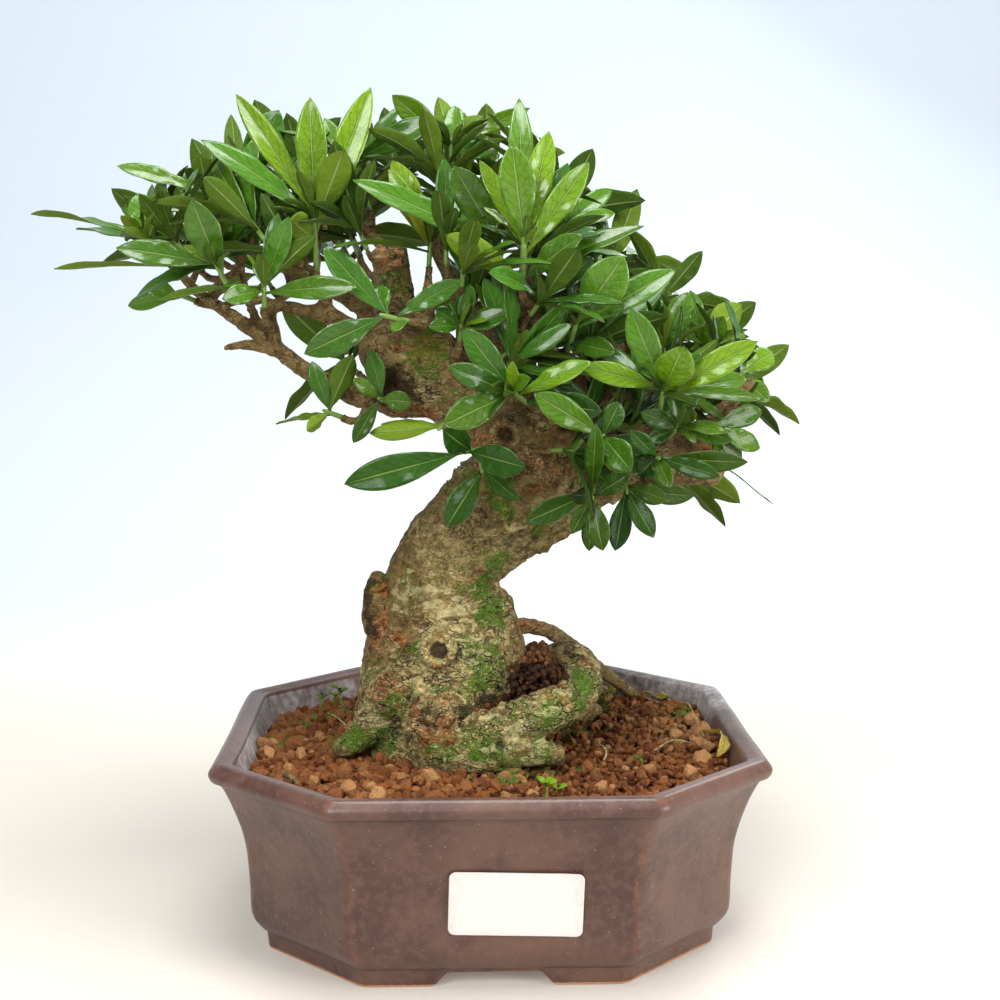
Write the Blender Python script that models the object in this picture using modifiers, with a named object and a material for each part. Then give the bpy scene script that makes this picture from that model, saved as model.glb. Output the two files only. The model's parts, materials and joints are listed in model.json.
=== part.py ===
"""Gardenia bonsai: a gnarled trunk with leafy sprays, rooted in an eight-sided glazed pot.

Metres, +Z up. The pot stands at the middle of the modelling space and its feet are at z = 0;
the last step moves everything so that the origin is under the middle of the whole part's box.
The tree's course was read from one viewpoint, so its routes are given as
(across, down, depth) readings from there, which seen() turns into places.
"""

import math
import random

import bmesh
import bpy
from mathutils import Matrix, Vector
from mathutils.bvhtree import BVHTree

MM = 0.001

# Pot
POT_HALF = 88 * MM
POT_FACE_HALF = 49 * MM
POT_CORNER_CUT = 2.4 * MM
POT_OUTSIDE = [(71.4, 0.0), (72.0, 5.2), (73.4, 6.6), (76.4, 11.8), (76.8, 22.0), (77.8, 35.0), (80.9, 46.5),
               (84.8, 55.6), (87.1, 56.8), (88.0, 59.4), (86.2, 62.0)]
POT_INSIDE = [(82.2, 62.0), (80.8, 61.0), (78.8, 56.0), (74.4, 46.0), (71.6, 34.0), (70.0, 11.0)]
UNDER_FLOOR = [(64.2, -1.0), (63.0, 5.0)]
FLOOR_TOP = 11 * MM
FOOT_GAP_BOTTOM = 38 * MM
FOOT_GAP_TOP = 27 * MM
FOOT_GAP_HEIGHT = 4.6 * MM
DRAIN_RADIUS = 7 * MM
DRAIN_OFFSET = 34 * MM

# Clearances between pieces that touch
SEAT_GAP = 0.3 * MM

# Drain screens
SCREEN_SIDE = 22 * MM
SCREEN_THICKNESS = 1.2 * MM
SCREEN_HOLE = 7 * MM
SCREEN_PITCH = 9 * MM

# Label on the front wall
LABEL_WIDTH = 40 * MM
LABEL_HEIGHT = 20 * MM
LABEL_THICKNESS = 0.6 * MM
LABEL_CORNER = 2 * MM
LABEL_MIDDLE = Vector((6.3, 0, 28)) * MM
LABEL_TURN = math.radians(1.6)
LABEL_STANDOFF = 0.45 * MM
LABEL_CORNER_STEPS = 3

# Soil
SOIL_LEVEL = 56.4 * MM
SOIL_DIP = 4.5 * MM
SOIL_MOUND = 4.0 * MM
SOIL_MOUND_REACH = 46 * MM
SOIL_GRAIN = 1.3 * MM
SOIL_CELL = 10.2 * MM
SOIL_SIDE_GAP = 0.4 * MM
SOIL_ROOT_GAP = 0.45 * MM
ROOTS_BELOW = 85 * MM

# Wood
WOOD_VOXEL = 2.2 * MM
WOOD_KEEP = (0.068, 0.072, 0.08, 0.09, 0.1)
TREE_KEEP = (0.7, 0.73, 0.76, 0.79, 0.82, 0.86, 0.9, 0.94)
THICK_SIDES = 12
BRANCH_SIDES = 6
TWIG_SIDES = 4
FINE_STEPS = 4
TWIG_ROOT_RADII = (1.3, 2.0)
TIP_ROOM = 7 * MM
BARK_ROOM = 1.6 * MM
BRANCH_ROOM = 0.8 * MM

# Leaves and shoots
BLADE_THICKNESS = 0.9 * MM
PETIOLE_HALF = 0.7 * MM
SHOOT_RADIUS = 1.15
SHOOT_TIP_RADIUS = 0.5
NODES = (0.97, 0.78, 0.6, 0.9, 0.7)
LEAF_ARCH = 0.10
LEAF_FOLD = 0.26
LEAF_CLEARANCE = 0.5 * MM
LARGE_LEAF = (0.0, 0.28, 0.58, 0.84)
SMALL_LEAF = (0.0, 0.34, 0.74)
LARGE_LEAF_LENGTH = 32 * MM
BUD_LENGTH = 2 * MM
SPRAY_KEEP = (0.68, 0.71, 0.74, 0.77, 0.8, 0.84, 0.88, 0.92, 0.96)
SEED = 11

# Viewpoint of the readings, from the pot's middle
EYE = Vector((-13, -532, 205)) * MM
VIEW_YAW = 0.032
VIEW_PITCH = 0.124
VIEW_FOCAL = 1600
VIEW_CENTRE = 500
FORWARD = Vector((math.sin(VIEW_YAW) * math.cos(VIEW_PITCH), math.cos(VIEW_YAW) * math.cos(VIEW_PITCH),
                  -math.sin(VIEW_PITCH)))
RIGHT = Vector((math.cos(VIEW_YAW), -math.sin(VIEW_YAW), 0))
UPWARD = RIGHT.cross(FORWARD)

# Wood that is thick enough to be blended: (across, down, depth mm, radius mm) along each route
THICK_WOOD = {
    "trunk": [(450, 785, 0, 30), (447, 745, 0, 32), (447, 700, 0, 30.5), (445, 660, 0, 28.5), (443, 620, 0, 25),
              (441, 588, -1, 19.5), (453, 556, -2, 17.8), (479, 527, -3, 18.2), (510, 502, -2, 19.6),
              (538, 482, 0, 21), (557, 461, 2, 20.5)],
    "limb_left": [(545, 462, 2, 19.5), (510, 425, 0, 16), (470, 395, -2, 14.5), (432, 370, -3, 13.5),
                  (405, 338, -3, 10.6), (395, 304, -2, 7.0), (392, 272, -1, 6.2), (389, 250, -2, 6.0)],
    "limb_right": [(560, 468, 2, 19), (600, 466, 2, 13), (640, 458, 0, 11), (684, 457, -2, 9.6),
                   (720, 459, -3, 8.6)],
    "limb_upright": [(530, 425, 6, 9.5), (522, 385, 8, 6.6), (514, 345, 9, 4.4), (508, 318, 9, 3.6)],
    "knee_left": [(430, 385, -3, 11), (404, 396, -4, 7.4), (376, 397, -5, 5.0)],
    "root_left": [(412, 672, -8, 12), (394, 700, -14, 9.6), (378, 722, -18, 7.2), (356, 740, -22, 4.6),
                  (336, 752, -24, 2.6)],
    "root_front": [(440, 678, -14, 13), (437, 712, -24, 12.5), (440, 742, -29, 10.5), (448, 772, -30, 7)],
    "root_loop": [(455, 728, -26, 9), (485, 735, -33, 8.2), (522, 722, -33, 7.6), (556, 706, -30, 7.2),
                  (577, 690, -22, 7.0), (583, 672, -12, 6.6), (573, 658, -4, 5.6), (557, 656, 4, 4.8),
                  (538, 664, 10, 5)],
    "root_low": [(448, 752, -33, 7.5), (490, 755, -38, 6), (530, 752, -39, 4.8), (562, 756, -40, 3)],
    "root_right": [(480, 672, 8, 15), (520, 690, 16, 11), (560, 704, 24, 7.5), (596, 716, 32, 4.2)],
    "root_back": [(440, 668, 16, 15), (425, 690, 30, 10.5), (405, 706, 44, 6.5), (388, 722, 54, 3.6)],
    "root_rear": [(455, 672, 18, 14), (480, 694, 36, 9), (505, 712, 52, 5)],
    "bark_plate": [(380, 574, -6, 2.8), (374, 592, -8, 3.4), (372, 612, -10, 3.4), (373, 634, -11, 3.0)],
}
WIRY_ROOT = [(504, 630, 2, 3.6), (526, 626, 10, 2.6), (550, 632, 18, 2.5), (574, 647, 28, 2.4), (597, 667, 40, 2.4),
             (620, 684, 52, 2.2), (644, 704, 58, 1.6)]
# Knots and healed cuts: (across, down, depth mm, radius mm)
KNOTS = [(438, 652, -25, 6.4), (437, 712, -33, 7), (540, 430, -12, 10), (505, 440, -14, 10.5), (566, 424, -12, 10.5),
         (385, 350, -8, 9), (530, 470, -17, 7), (395, 700, -20, 7), (496, 606, -10, 6.4), (596, 482, -10, 8),
         (470, 498, -14, 7), (420, 352, 6, 8), (540, 455, 18, 10), (450, 600, 22, 7), (455, 560, 13, 6)]

# Thinner wood: (across, down, depth mm, radius mm)
BRANCHES = {
    "low_left": [(404, 396, -4, 6), (378, 397, -5, 4.9), (352, 393, -5, 4.0), (328, 382, -5, 3.1),
                 (306, 371, -5, 2.9), (278, 350, -4, 2.7), (250, 329, -3, 2.4), (217, 305, -1, 2.1),
                 (194, 289, 1, 1.8), (178, 270, 0, 1.5), (168, 256, -2, 1.3)],
    "left_fork": [(276, 347, -4, 2.4), (273, 325, -6, 1.8), (271, 308, -9, 1.6), (267, 298, -13, 1.5)],
    "left_fork_up": [(266, 338, -3, 2.0), (254, 314, 1, 1.6), (246, 290, 6, 1.5), (240, 262, 10, 1.4),
                     (236, 236, 12, 1.3)],
    "upper_left": [(396, 350, -2, 6.2), (370, 338, -3, 4.2), (347, 326, -4, 3.3), (324, 313, -5, 3.0),
                   (300, 310, -5, 2.2), (281, 306, -6, 1.9), (262, 300, -8, 1.6)],
    "left_stem": [(327, 314, -5, 2.6), (325, 296, -6, 2.3), (323, 278, -7, 2.0)],
    "dead_twig": [(280, 352, -4, 2.4), (250, 345, -8, 1.9), (224, 348, -10, 1.0)],
    "low_spur": [(360, 398, -6, 2.6), (349, 411, -9, 1.7), (338, 415, -12, 1.4)],
    "front_stub": [(455, 356, -8, 4.2), (441, 338, -12, 3.5), (425, 320, -14, 3.0), (410, 302, -15, 2.6)],
    "centre_top": [(508, 320, 9, 3.6), (498, 285, 10, 2.9), (480, 240, 13, 2.3), (462, 205, 14, 1.9),
                   (453, 176, 14, 1.6)],
    "centre_front": [(506, 310, 9, 2.8), (503, 286, 2, 2.0), (501, 268, -6, 1.6)],
    "yellow_stem": [(446, 362, -9, 3.6), (434, 325, -9, 2.4), (429, 295, -8, 1.9), (428, 278, -6, 1.7)],
    "hero_twig": [(550, 410, -6, 4.8), (546, 355, -10, 2.7), (536, 320, -14, 2.1), (528, 296, -18, 1.8)],
    "pale_stub": [(556, 402, -8, 4.4), (552, 370, -9, 3.1), (549, 346, -10, 2.4)],
    "round_twig": [(585, 430, -6, 4.6), (580, 390, -11, 2.8), (573, 358, -16, 1.9)],
    "right_stub": [(652, 450, -10, 6), (666, 430, -20, 3.4), (668, 409, -26, 2.3)],
    "right_rise": [(655, 450, 6, 6), (672, 412, 10, 3.8), (690, 380, 13, 2.6), (701, 358, 13, 1.9)],
    "mid_rise": [(625, 455, 4, 5.6), (640, 420, 2, 3.6), (655, 388, 0, 2.6), (662, 368, -2, 1.9)],
    "dry_stub": [(690, 447, -6, 4.6), (714, 420, -10, 3.1), (734, 400, -12, 2.3), (752, 380, -14, 1.5)],
    "front_arm": [(562, 425, -18, 4.8), (549, 412, -26, 2.8), (536, 401, -31, 1.7)],
    "low_arm": [(508, 445, -14, 5.6), (492, 449, -24, 2.8), (480, 452, -30, 1.7)],
    "back_left": [(430, 365, 6, 7), (385, 322, 24, 4.2), (330, 288, 36, 2.9), (270, 262, 38, 2.1),
                  (225, 250, 34, 1.6)],
    "back_centre": [(520, 420, 12, 8), (490, 350, 34, 4.6), (455, 285, 44, 3.2), (425, 225, 46, 2.2)],
    "back_top": [(520, 385, 12, 6), (524, 320, 32, 3.8), (532, 270, 38, 2.7), (545, 240, 38, 2.0)],
    "back_right": [(580, 440, 12, 8), (600, 392, 36, 4.6), (620, 345, 46, 3.2), (636, 306, 46, 2.2)],
    "back_far": [(650, 457, 6, 7), (680, 422, 30, 3.8), (704, 396, 42, 2.6), (712, 382, 42, 1.9)],
    "back_low": [(600, 470, 10, 7), (622, 466, 32, 3.6), (642, 458, 46, 2.3)],
}


class Spray:
    """One green shoot with its leaves.

    heart: (across, down, depth mm) where the leaves meet; grows: direction of the shoot; length: mm;
    fill: how many more leaves a rule adds; tips: (across, down, lean mm, width mm, show[, node])
    for each leaf read from the viewpoint. Lean is how much deeper the tip lies than the heart, show is
    1 where the upper face is seen, -1 for the underside and 0 edge on, node is the place on the shoot.
    """

    def __init__(self, name, heart, grows, length, fill, tips=()):
        self.name = "spray_" + name
        self.heart = seen(*heart)
        self.grows = Vector(grows).normalized()
        self.length = length * MM
        self.fill = fill
        self.tips = tips
        self.leaves = []

    @property
    def start(self):
        return self.heart - self.grows * self.length


def seen(across, down, depth):
    """Place seen at a reading from the viewpoint, at a depth in mm behind the pot's middle."""
    ray = FORWARD + RIGHT * ((across - VIEW_CENTRE) / VIEW_FOCAL) + UPWARD * ((VIEW_CENTRE - down) / VIEW_FOCAL)
    return EYE + ray * ((depth * MM - EYE.y) / ray.y)


FRONT_SPRAYS = [
    Spray("far_left", (147, 238, -6), (-.6, -.2, .75), 8, 0,
          [(31, 214, 0, 7.5, .35), (76, 229, 12, 7, .3), (138, 193, 6, 9.5, .9), (166, 190, -4, 8, -.85)]),
    Spray("left_low", (216, 264, -16), (-.35, -.5, .8), 8, 1,
          [(116, 248, -8, 8.5, .9), (54, 269, 0, 6, .25), (192, 199, -10, 11, .95), (176, 259, 6, 5, .5)]),
    Spray("left_olive", (222, 254, 2), (.1, -.1, 1), 7, 1,
          [(246, 187, -4, 10, .9), (225, 212, -14, 7, .8)]),
    Spray("left_middle", (264, 284, -22), (.05, -.4, .9), 8, 0,
          [(316, 236, -8, 6.5, -.6), (289, 217, -4, 7, .75), (357, 287, -10, 7.5, .85), (159, 301, -12, 5.5, .2),
           (222, 299, -10, 6.5, .7), (278, 213, 4, 5.5, .7)]),
    Spray("top_left", (314, 212, -8), (-.02, -.15, 1), 19, 0,
          [(236, 94, 2, 8, .8), (310, 97, -4, 10, .95), (371, 87, 2, 10, .9), (201, 140, -6, 8.5, .75),
           (344, 150, -10, 10.5, -.85), (362, 168, 6, 8, -.6), (290, 220, -12, 9.5, -.9, .5)]),
    Spray("yellow", (430, 242, -4), (.05, -.2, 1), 8, 0,
          [(392, 160, -2, 9, .9), (388, 169, -12, 7, .85), (333, 248, -18, 7.5, -.75), (453, 206, 8, 6, -.7),
           (400, 198, -8, 4.5, .6)]),
    Spray("top_centre", (451, 144, 14), (0, .1, 1), 7, 0,
          [(392, 95, -6, 8.5, .9), (530, 108, 0, 5.5, .4), (455, 106, 6, 7.5, .8), (483, 116, 12, 7, -.8),
           (497, 150, -6, 8, .8), (438, 97, 16, 7, -.8)]),
    Spray("top_hero", (524, 240, -22), (.02, -.15, 1), 14, 0,
          [(512, 144, -6, 11.5, .95), (549, 131, 6, 9, .9), (589, 162, 0, 8.5, .85), (479, 160, 2, 6, .75),
           (519, 98, 14, 8, .85), (445, 235, -6, 9, -.85, .1), (644, 226, 2, 7.5, .6, .1),
           (583, 235, -10, 9, .8, .1)]),
    Spray("top_middle", (499, 242, -12), (-.05, -.2, 1), 8, 0,
          [(453, 166, -8, 11, .95), (352, 180, -10, 8.5, .75), (543, 202, -12, 5, .5)]),
    Spray("top_right_back", (553, 232, 10), (.3, .1, .9), 8, 1,
          [(615, 213, 4, 6, .5), (612, 189, 8, 7, .65)]),
    Spray("round", (576, 324, -20), (.25, -.3, .9), 10, 0,
          [(624, 256, -8, 14, .95), (676, 270, 4, 9.5, .8), (640, 373, -14, 6.5, .55, .3), (545, 304, 4, 9, -.8, .4),
           (616, 353, -10, 7, .8, .3)]),
    Spray("right_hero", (663, 388, -34), (.05, -.4, .9), 9, 0,
          [(630, 308, -4, 9.5, .95), (684, 345, -12, 12, .9), (758, 341, -6, 8.5, .9), (580, 366, -4, 7, .75),
           (747, 379, 6, 9, .85), (762, 400, 0, 5.5, .6), (696, 406, -10, 5, -.6)]),
    Spray("right_top", (704, 344, 12), (.3, .2, .9), 7, 0,
          [(742, 304, 6, 11.5, -.85), (690, 290, 0, 6, .8), (724, 316, -8, 8.5, .85), (676, 330, -10, 6, .6)]),
    Spray("right_mid_top", (664, 350, -2), (0, 0, 1), 7, 0,
          [(688, 292, 0, 9, .9), (650, 293, 6, 9, .85), (617, 306, 2, 7.5, .85)]),
    Spray("far_right", (740, 374, 2), (.8, -.1, .4), 8, 1,
          [(772, 352, 10, 8, .75), (769, 402, -2, 7, .6)]),
    Spray("right_low", (678, 426, -30), (.3, -.6, .5), 7, 0,
          [(732, 441, -4, 6.5, .85), (692, 408, -8, 6, -.6), (646, 440, -6, 5, .7), (640, 412, 2, 6, .8)]),
    Spray("right_edge", (712, 428, -26), (.7, -.6, -.1), 6, 0,
          [(760, 448, 6, 7, .8), (762, 410, 10, 7, .7), (742, 458, 4, 5.5, .85), (724, 470, -4, 4, .7)]),
    Spray("right_under", (658, 458, -34), (.1, -.9, -.1), 7, 0,
          [(748, 462, -4, 7, .85), (720, 476, -8, 6, .8), (671, 488, -6, 6, .9), (630, 430, -6, 6, .7),
           (640, 474, 4, 8, .8)]),
    Spray("oval", (603, 436, -38), (0, -.9, .2), 6, 1,
          [(632, 471, -10, 10, .95), (620, 402, 0, 7, .8)]),
    Spray("low_right", (626, 490, -28), (.1, -.8, -.5), 7, 0,
          [(615, 551, -4, 7.5, .9), (654, 538, -4, 7, .85), (668, 500, -2, 6.5, .8), (694, 496, 6, 7, .85)]),
    Spray("low_middle", (592, 497, -34), (-.05, -.8, -.4), 7, 0,
          [(603, 551, -6, 7.5, .9), (589, 551, 4, 6, .8), (526, 522, -4, 7.5, .9), (572, 533, 2, 5.5, .8),
           (596, 423, -2, 6, .85), (630, 474, -4, 6.5, .8), (571, 495, -10, 6, .85)]),
    Spray("front_middle", (513, 392, -38), (-.55, -.6, .45), 8, 0,
          [(443, 426, -8, 10, .95), (463, 328, -2, 8.5, .85), (447, 366, -8, 7.5, .8), (513, 361, -6, 4.5, .85),
           (592, 362, -6, 7, .8), (602, 411, -2, 9.5, .9, .2)]),
    Spray("low_left", (465, 452, -34), (-.6, -.6, -.05), 7, 0,
          [(344, 484, -4, 10.5, .95), (526, 467, -16, 10, .95), (443, 430, -12, 9, .85)]),
    Spray("low_front", (482, 470, -28), (0, -.8, -.3), 6, 0,
          [(446, 527, -8, 9, .9), (520, 500, -10, 5.5, .6)]),
    Spray("pale_under", (441, 427, -22), (-.5, -.6, -.4), 6, 0,
          [(369, 433, 0, 6, -.9), (381, 424, 8, 6, -.75)]),
    Spray("left_under", (380, 399, -20), (-.2, -.8, .1), 6, 0,
          [(353, 443, -4, 5.5, .85), (353, 378, -4, 4.5, .8), (371, 350, 2, 6.5, .8), (412, 402, -2, 7, .8)]),
    Spray("left_hanging", (328, 412, -14), (-.8, -.3, .35), 5, 0,
          [(353, 355, -4, 8, -.9), (312, 361, 0, 6, .8), (276, 424, 2, 4.5, .45), (307, 431, -6, 5, -.7)]),
    Spray("left_front", (385, 316, -28), (-.9, -.3, .2), 8, 0,
          [(304, 354, -6, 9.5, .95), (323, 246, -4, 8.5, .9), (462, 280, 0, 6.5, .8), (379, 285, 6, 6, .8),
           (395, 333, -8, 5, .8, .2)]),
    Spray("centre_small", (461, 326, -24), (.1, -.5, .8), 6, 0,
          [(434, 309, 0, 6.5, .8), (511, 312, -4, 7.5, .85), (470, 284, 6, 6.5, .7), (428, 327, -4, 5, .7)]),
    Spray("lime_back", (601, 338, 22), (.05, .1, 1), 7, 2, [(607, 300, 0, 9, .9)]),
    Spray("far_left_low", (178, 294, 4), (-.7, -.3, .3), 6, 0, [(149, 288, -2, 7, .85), (128, 306, 8, 5.5, .7)]),
    Spray("left_high", (208, 194, 6), (-.3, 0, .9), 8, 0,
          [(117, 166, 0, 6, .55), (200, 154, -8, 8.5, -.85), (232, 166, 8, 6.5, .8), (168, 211, -10, 6, .9),
           (178, 181, 4, 9, .85)]),
    Spray("left_dark", (240, 186, 10), (.2, .1, 1), 7, 1,
          [(279, 110, 0, 12, .9), (231, 114, 12, 6.5, -.9)]),
    Spray("left_back_grey", (352, 162, 10), (.1, 0, 1), 7, 2,
          [(437, 119, -8, 9, .9), (402, 106, 8, 5, .5), (324, 118, 4, 5.5, .7)]),
]
BACK_HEARTS = {
    "back_a": (182, 246, 30), "back_b": (236, 214, 42), "back_c": (292, 182, 50), "back_d": (262, 272, 60),
    "back_e": (340, 236, 58), "back_f": (396, 172, 54), "back_g": (446, 246, 74), "back_h": (488, 176, 44),
    "back_i": (560, 212, 50), "back_j": (500, 316, 72), "back_k": (610, 266, 62), "back_l": (664, 296, 52),
    "back_m": (600, 356, 80), "back_n": (700, 342, 56), "back_o": (732, 384, 48), "back_p": (650, 412, 76),
    "back_q": (556, 424, 66), "back_r": (668, 462, 52), "back_s": (410, 330, 54), "back_t": (345, 360, 30),
}
BACK_CENTRE = (450, 360, 0)
BACK_FILL = 5
BACK_SHOOT = 9


def back_sprays():
    """Sprays on the far side, which grow up and away from the middle of the crown."""
    middle = seen(*BACK_CENTRE)
    sprays = []
    for name, heart in BACK_HEARTS.items():
        away = (seen(*heart) - middle).normalized() + Vector((0, 0.3, 0.7))
        sprays.append(Spray(name, heart, away, BACK_SHOOT, BACK_FILL))
    return sprays


def smooth_route(rows, per_span):
    """Points and radii on a Catmull-Rom curve through the rows."""
    points = [seen(*row[:3]) for row in rows]
    radii = [row[3] for row in rows]
    return smooth_points(points, radii, per_span)


def smooth_points(points, radii, per_span):
    last = len(points) - 1
    route, sizes = [], []
    for i in range(last):
        a, b, c, d = (points[min(max(k, 0), last)] for k in (i - 1, i, i + 1, i + 2))
        for step in range(per_span):
            t = step / per_span
            route.append(0.5 * (2 * b + (c - a) * t + (2 * a - 5 * b + 4 * c - d) * t * t
                                + (3 * b - a - 3 * c + d) * t ** 3))
            sizes.append(radii[i] + (radii[i + 1] - radii[i]) * t)
    return route + [points[last]], sizes + [radii[last]]


class Leaf:
    """A blade on a bent midrib: half width, fold and twist along it come from formulas."""

    def __init__(self, base, tip, face, width, twist=0.0, arch=LEAF_ARCH):
        self.base = base
        self.tip = tip
        self.length = (tip - base).length
        along = (tip - base).normalized()
        self.face = (face - along * face.dot(along)).normalized()
        self.width = width
        self.twist = twist
        self.bend = (base + tip) / 2 + self.face * (arch * self.length)

    def half_width(self, t):
        shape = t ** 1.2 * max(1 - t, 0) ** 0.8 / 0.2603
        return max(self.width / 2 * shape, PETIOLE_HALF * (1 - t))

    def frame(self, t):
        """Point on the midrib, the direction to its side and the direction that its face looks."""
        point = self.base * (1 - t) ** 2 + self.bend * (2 * t * (1 - t)) + self.tip * t * t
        along = ((self.bend - self.base) * (1 - t) + (self.tip - self.bend) * t).normalized()
        side = along.cross(self.face).normalized()
        turned = Matrix.Rotation(self.twist * t, 3, along) @ side
        return point, turned, turned.cross(along)

    def loft(self, stations, grow=0.0):
        """Closed blade: a chevron section at each station, drawn to a point, split alike on both faces."""
        points, faces = [], []
        for t in stations:
            point, side, face = self.frame(t)
            half = self.half_width(t)
            lift = face * (LEAF_FOLD * half * min(t * 4, 1))
            thick = face * (BLADE_THICKNESS / 2 + grow)
            points += [point - side * (half + grow) + lift, point + thick, point + side * (half + grow) + lift,
                       point - thick]
        points.append(self.tip + (self.tip - self.bend).normalized() * grow)
        end = len(points) - 1
        faces += [(0, 1, 3), (1, 2, 3)]
        for i in range(0, end - 4, 4):
            j = i + 4
            for edge, low, high in ((0, 3, 1), (2, 1, 3)):
                faces += [(i + edge, j + high, i + high), (i + edge, j + edge, j + high),
                          (i + edge, i + low, j + low), (i + edge, j + low, j + edge)]
        for k in range(4):
            faces.append((end - 4 + k, end, end - 4 + (k + 1) % 4))
        return points, faces

    def stations(self):
        return LARGE_LEAF if self.length > LARGE_LEAF_LENGTH else SMALL_LEAF


def box_of(points):
    low = Vector([min(p[k] for p in points) for k in range(3)])
    high = Vector([max(p[k] for p in points) for k in range(3)])
    return low, high


class Guard:
    """A closed or open surface that leaves keep clear of."""

    def __init__(self, points, faces):
        self.low, self.high = box_of(points)
        self.tree = BVHTree.FromPolygons(points, faces)

    def meets(self, other):
        for k in range(3):
            if self.low[k] > other.high[k] or other.low[k] > self.high[k]:
                return False
        return bool(self.tree.overlap(other.tree))


class Crown:
    """Places every leaf clear of the wood and of the other sprays."""

    def __init__(self, sprays, wood):
        self.sprays = sprays
        self.wood = wood
        self.shoots = {}
        self.blades = {}
        for spray in sprays:
            points, faces = tube_faces([spray.start, spray.heart], [SHOOT_RADIUS, SHOOT_RADIUS], LEAF_CLEARANCE)
            self.shoots[spray.name] = Guard(points, faces)
            self.blades[spray.name] = []

    def is_clear(self, spray, leaf):
        stations = leaf.stations()
        whole = Guard(*leaf.loft(stations, LEAF_CLEARANCE))
        outer = Guard(*leaf.loft(stations[1:], LEAF_CLEARANCE))
        if any(whole.meets(guard) for guard in self.wood):
            return False
        for other in self.sprays:
            if other is spray:
                if any(outer.meets(blade) for _, blade in self.blades[other.name]):
                    return False
            elif whole.meets(self.shoots[other.name]):
                return False
            elif any(whole.meets(blade) for blade, _ in self.blades[other.name]):
                return False
        return True

    def add(self, spray, choices):
        """Grows the first choice that is clear; returns whether one was."""
        for leaf in choices:
            if self.is_clear(spray, leaf):
                stations = leaf.stations()
                self.blades[spray.name].append((Guard(*leaf.loft(stations)), Guard(*leaf.loft(stations[1:]))))
                spray.leaves.append(leaf)
                return True
        return False

    def grow(self):
        for spray in self.sprays:
            for rank, row in enumerate(spray.tips):
                self.add(spray, read_leaf(spray, rank, row))
        for spray in self.sprays:
            rng = random.Random(f"{SEED} {spray.name}")
            grown = 0
            for rank in range(spray.fill * 3):
                if grown < spray.fill and self.add(spray, rule_leaf(spray, rank, rng)):
                    grown += 1


def read_leaf(spray, rank, row):
    """Choices for a leaf read from the viewpoint: its tip keeps its reading, its depth and roll may change."""
    across, down, lean, width, show = row[:5]
    node = row[5] if len(row) > 5 else NODES[rank % len(NODES)]
    base = spray.start.lerp(spray.heart, node)
    heart_depth = spray.heart.y / MM
    rng = random.Random(f"{SEED} {spray.name} {rank}")
    twist = rng.uniform(-0.5, 0.5) + (1.3 if abs(show) < 0.5 else 0)
    arch = rng.uniform(0.06, 0.13)
    for size in (1, 0.93, 0.85):
        for shift in (0, -4, 4, -8, 8, -12, 12, -17, 17, -22, 22):
            for turn in (0, 0.25, -0.25):
                tip = seen(across, down, heart_depth + lean + shift)
                tip = base + (tip - base) * size
                to_eye = (EYE - base).normalized()
                shown = max(-1, min(1, show + turn))
                face = to_eye * shown + spray.grows * (1 - abs(shown) + 0.08)
                yield Leaf(base, tip, face, width * MM * size, twist, arch)


def rule_leaf(spray, rank, rng):
    """Choices for a leaf in the crossed pairs of the shoot, wide ones low on it and upright ones at its top."""
    across = spray.grows.cross(FORWARD).normalized()
    behind = spray.grows.cross(across).normalized()
    pair = rank // 2
    heading = pair * math.pi / 2 + (rank % 2) * math.pi + rng.uniform(-0.3, 0.3)
    opening = max(0.5, 1.25 - 0.25 * (rank % 4) + rng.uniform(-0.12, 0.12))
    length = rng.uniform(23, 35) * MM
    width = length * rng.uniform(0.29, 0.35)
    node = NODES[rank % len(NODES)]
    twist = rng.uniform(-0.6, 0.6)
    base = spray.start.lerp(spray.heart, node)
    for size in (1, 0.85, 0.7):
        for turn in (0, 0.35, -0.35, 0.7, -0.7):
            for tilt in (0, 0.25, -0.25):
                out = across * math.cos(heading + turn) + behind * math.sin(heading + turn)
                aim = spray.grows * math.cos(opening + tilt) + out * math.sin(opening + tilt)
                tip = base + aim * length * size
                face = spray.grows - Vector((0, 0, 0.1))
                yield Leaf(base, tip, face, width * size, twist)


def branch_routes(sprays):
    """Fine routes of the branches, each cut back where it would run into a shoot."""
    routes = {}
    for name, rows in BRANCHES.items():
        route, radii = smooth_route(rows, FINE_STEPS)
        while any((route[-1] - spray.start).length < TIP_ROOM for spray in sprays):
            route.pop()
            radii.pop()
        routes[name] = (route, radii)
    return routes


def every(route, radii, step):
    """Every so many points of a route, with its last one."""
    keep = list(range(0, len(route) - 1, step))
    if len(route) - 1 - keep[-1] < step / 2 and len(keep) > 1:
        keep.pop()
    keep.append(len(route) - 1)
    return [route[k] for k in keep], [radii[k] for k in keep]


def tube_faces(route, radii, grow=0.0, sides=6):
    """Open tube round a route, as points and faces, for measuring clearance."""
    points, faces = [], []
    for i, point in enumerate(route):
        ahead = route[min(i + 1, len(route) - 1)] - route[max(i - 1, 0)]
        turn = ahead.to_track_quat("Z", "Y")
        for k in range(sides):
            angle = 2 * math.pi * k / sides
            arm = Vector((math.cos(angle), math.sin(angle), 0)) * (radii[i] * MM + grow)
            points.append(point + turn @ arm)
    for i in range(len(route) - 1):
        for k in range(sides):
            a, b = i * sides + k, i * sides + (k + 1) % sides
            faces.append((a, b, b + sides, a + sides))
    return points, faces


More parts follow.
